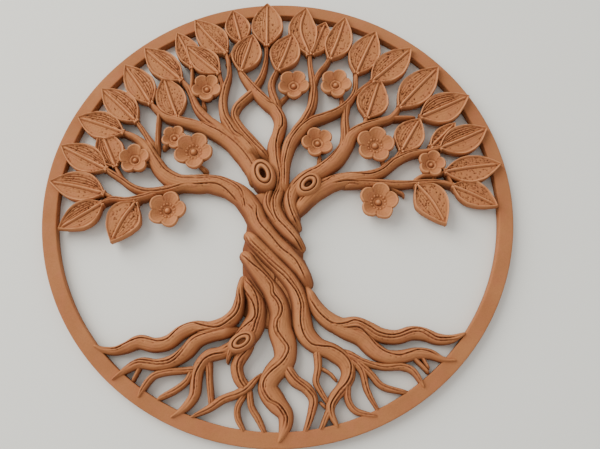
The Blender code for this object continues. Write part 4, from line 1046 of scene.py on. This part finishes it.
def build_leaves():
    for k, (name, base, bend, tip, left, right, rank) in enumerate(LEAVES):
        upper = [leaf[1:6] for leaf in LEAVES if leaf[6] > rank]
        streaks = 1.0 if name in STREAKY_LEAVES else PRICKED_STREAKS
        shell = leaf_shell(base, bend, tip, left * LEAF_SPREAD, right * LEAF_SPREAD, rank,
                           100 + 17 * k, streaks, name in VEINED_BELOW, upper)
        mesh_piece("leaf_" + name, [shell])


def build_flowers():
    for k, (name, centre, diameter, phase, stem) in enumerate(FLOWERS):
        start = ((centre[0] + stem[0][0]) / 2, (centre[1] + stem[0][1]) / 2)
        path = [(*start, PEG_WIDTH), (*stem[0], PEG_WIDTH), (*stem[1], PEG_FLARE)]
        shell = flower_shell(centre, diameter * FLOWER_SPREAD, phase, 700 + k)
        shell[0][:, :, 2] *= 1.0 - FLOWER_SINK * (name in SUNK_FLOWERS)
        peg = strand_shell(path, PEG_HEIGHT, PEG_HEIGHT, [], 800 + k)
        mesh_piece("flower_" + name, [shell, peg])


def build_knots():
    for k, (name, centre, length, width, lean, height) in enumerate(KNOTS):
        shells = [knot_shell(centre, length, width, lean, height, 900 + k)]
        if name == "root":
            shells.append(strand_shell(KNOT_TAIL, *KNOT_TAIL_HEIGHTS, [], 950))
        mesh_piece("knot_" + name, shells)


def end_kind(name, point):
    """What a strand's far end runs into."""
    if name.startswith("bough"):
        return "leaf"
    return "ring" if math.hypot(point[0], point[1]) > RING_MEETING else "neighbour"


def build_strands():
    for k, (name, branches) in enumerate(STRANDS.items()):
        lines = GROOVES.get(name, [])
        shells = []
        for i, (path, start, end) in enumerate(branches):
            ends = ("fork" if i or name in FLANK_STRANDS else "wrap", end_kind(name, path[-1]))
            if (name, i) == TURNED_FORK:
                ends = ("leaf", "leaf")
            shells.append(strand_shell(path, start, end, lines, 2000 + 101 * k + 7 * i, ends))
        if name == "root_centre":
            shells.append(strand_shell(TRUNK_CORE, *TRUNK_CORE_HEIGHTS, [], 77))
        mesh_piece(name, shells)


def build_floor():
    bpy.ops.mesh.primitive_plane_add(size=FLOOR_SIZE, location=(0.0, 0.0, FLOOR_LEVEL))
    floor = bpy.context.object
    floor.name = "floor"
    material, shader = matte_material("floor_paper")
    shader.inputs["Base Color"].default_value = PAPER
    shader.inputs["Roughness"].default_value = 0.9
    shader.inputs["Specular IOR Level"].default_value = 0.1
    floor.data.materials.append(material)


def build_light():
    """A broad window at the upper left, and the even light of a pale room."""
    data = bpy.data.lights.new("window_light", "AREA")
    data.shape = "DISK"
    data.size = WINDOW_SIZE
    data.energy = WINDOW_POWER
    data.color = WINDOW_COLOUR
    window = bpy.data.objects.new("window_light", data)
    window.location = WINDOW_PLACE
    window.rotation_euler = Vector(WINDOW_PLACE).to_track_quat("Z", "Y").to_euler()
    bpy.context.scene.collection.objects.link(window)
    world = bpy.data.worlds.new("room")
    bpy.context.scene.world = world
    world.use_nodes = True
    background = world.node_tree.nodes["Background"]
    background.inputs["Color"].default_value = ROOM_COLOUR
    background.inputs["Strength"].default_value = ROOM_STRENGTH


def build_camera():
    up = Vector(CAMERA_UP).normalized()
    back = Vector(CAMERA_BACK).normalized()
    right = up.cross(back)
    data = bpy.data.cameras.new("camera")
    data.sensor_width = 36.0
    data.lens = CAMERA_LENS
    data.clip_start = 0.01
    camera = bpy.data.objects.new("camera", data)
    turn = Matrix((right, up, back)).transposed().to_4x4()
    camera.matrix_world = Matrix.Translation(Vector(CAMERA_PLACE) * MM) @ turn
    bpy.context.scene.collection.objects.link(camera)
    bpy.context.scene.camera = camera


CLAYS = {kind: clay(kind, LIGHT_CLAY, DARK_CLAY) for kind in SLOTS if kind != "ring"}
CLAYS["ring"] = clay("ring", RING_LIGHT, RING_DARK)
build_camera()
build_light()
build_floor()
mesh_piece("ring", [ring_shell()])
build_leaves()
build_flowers()
build_knots()
build_strands()
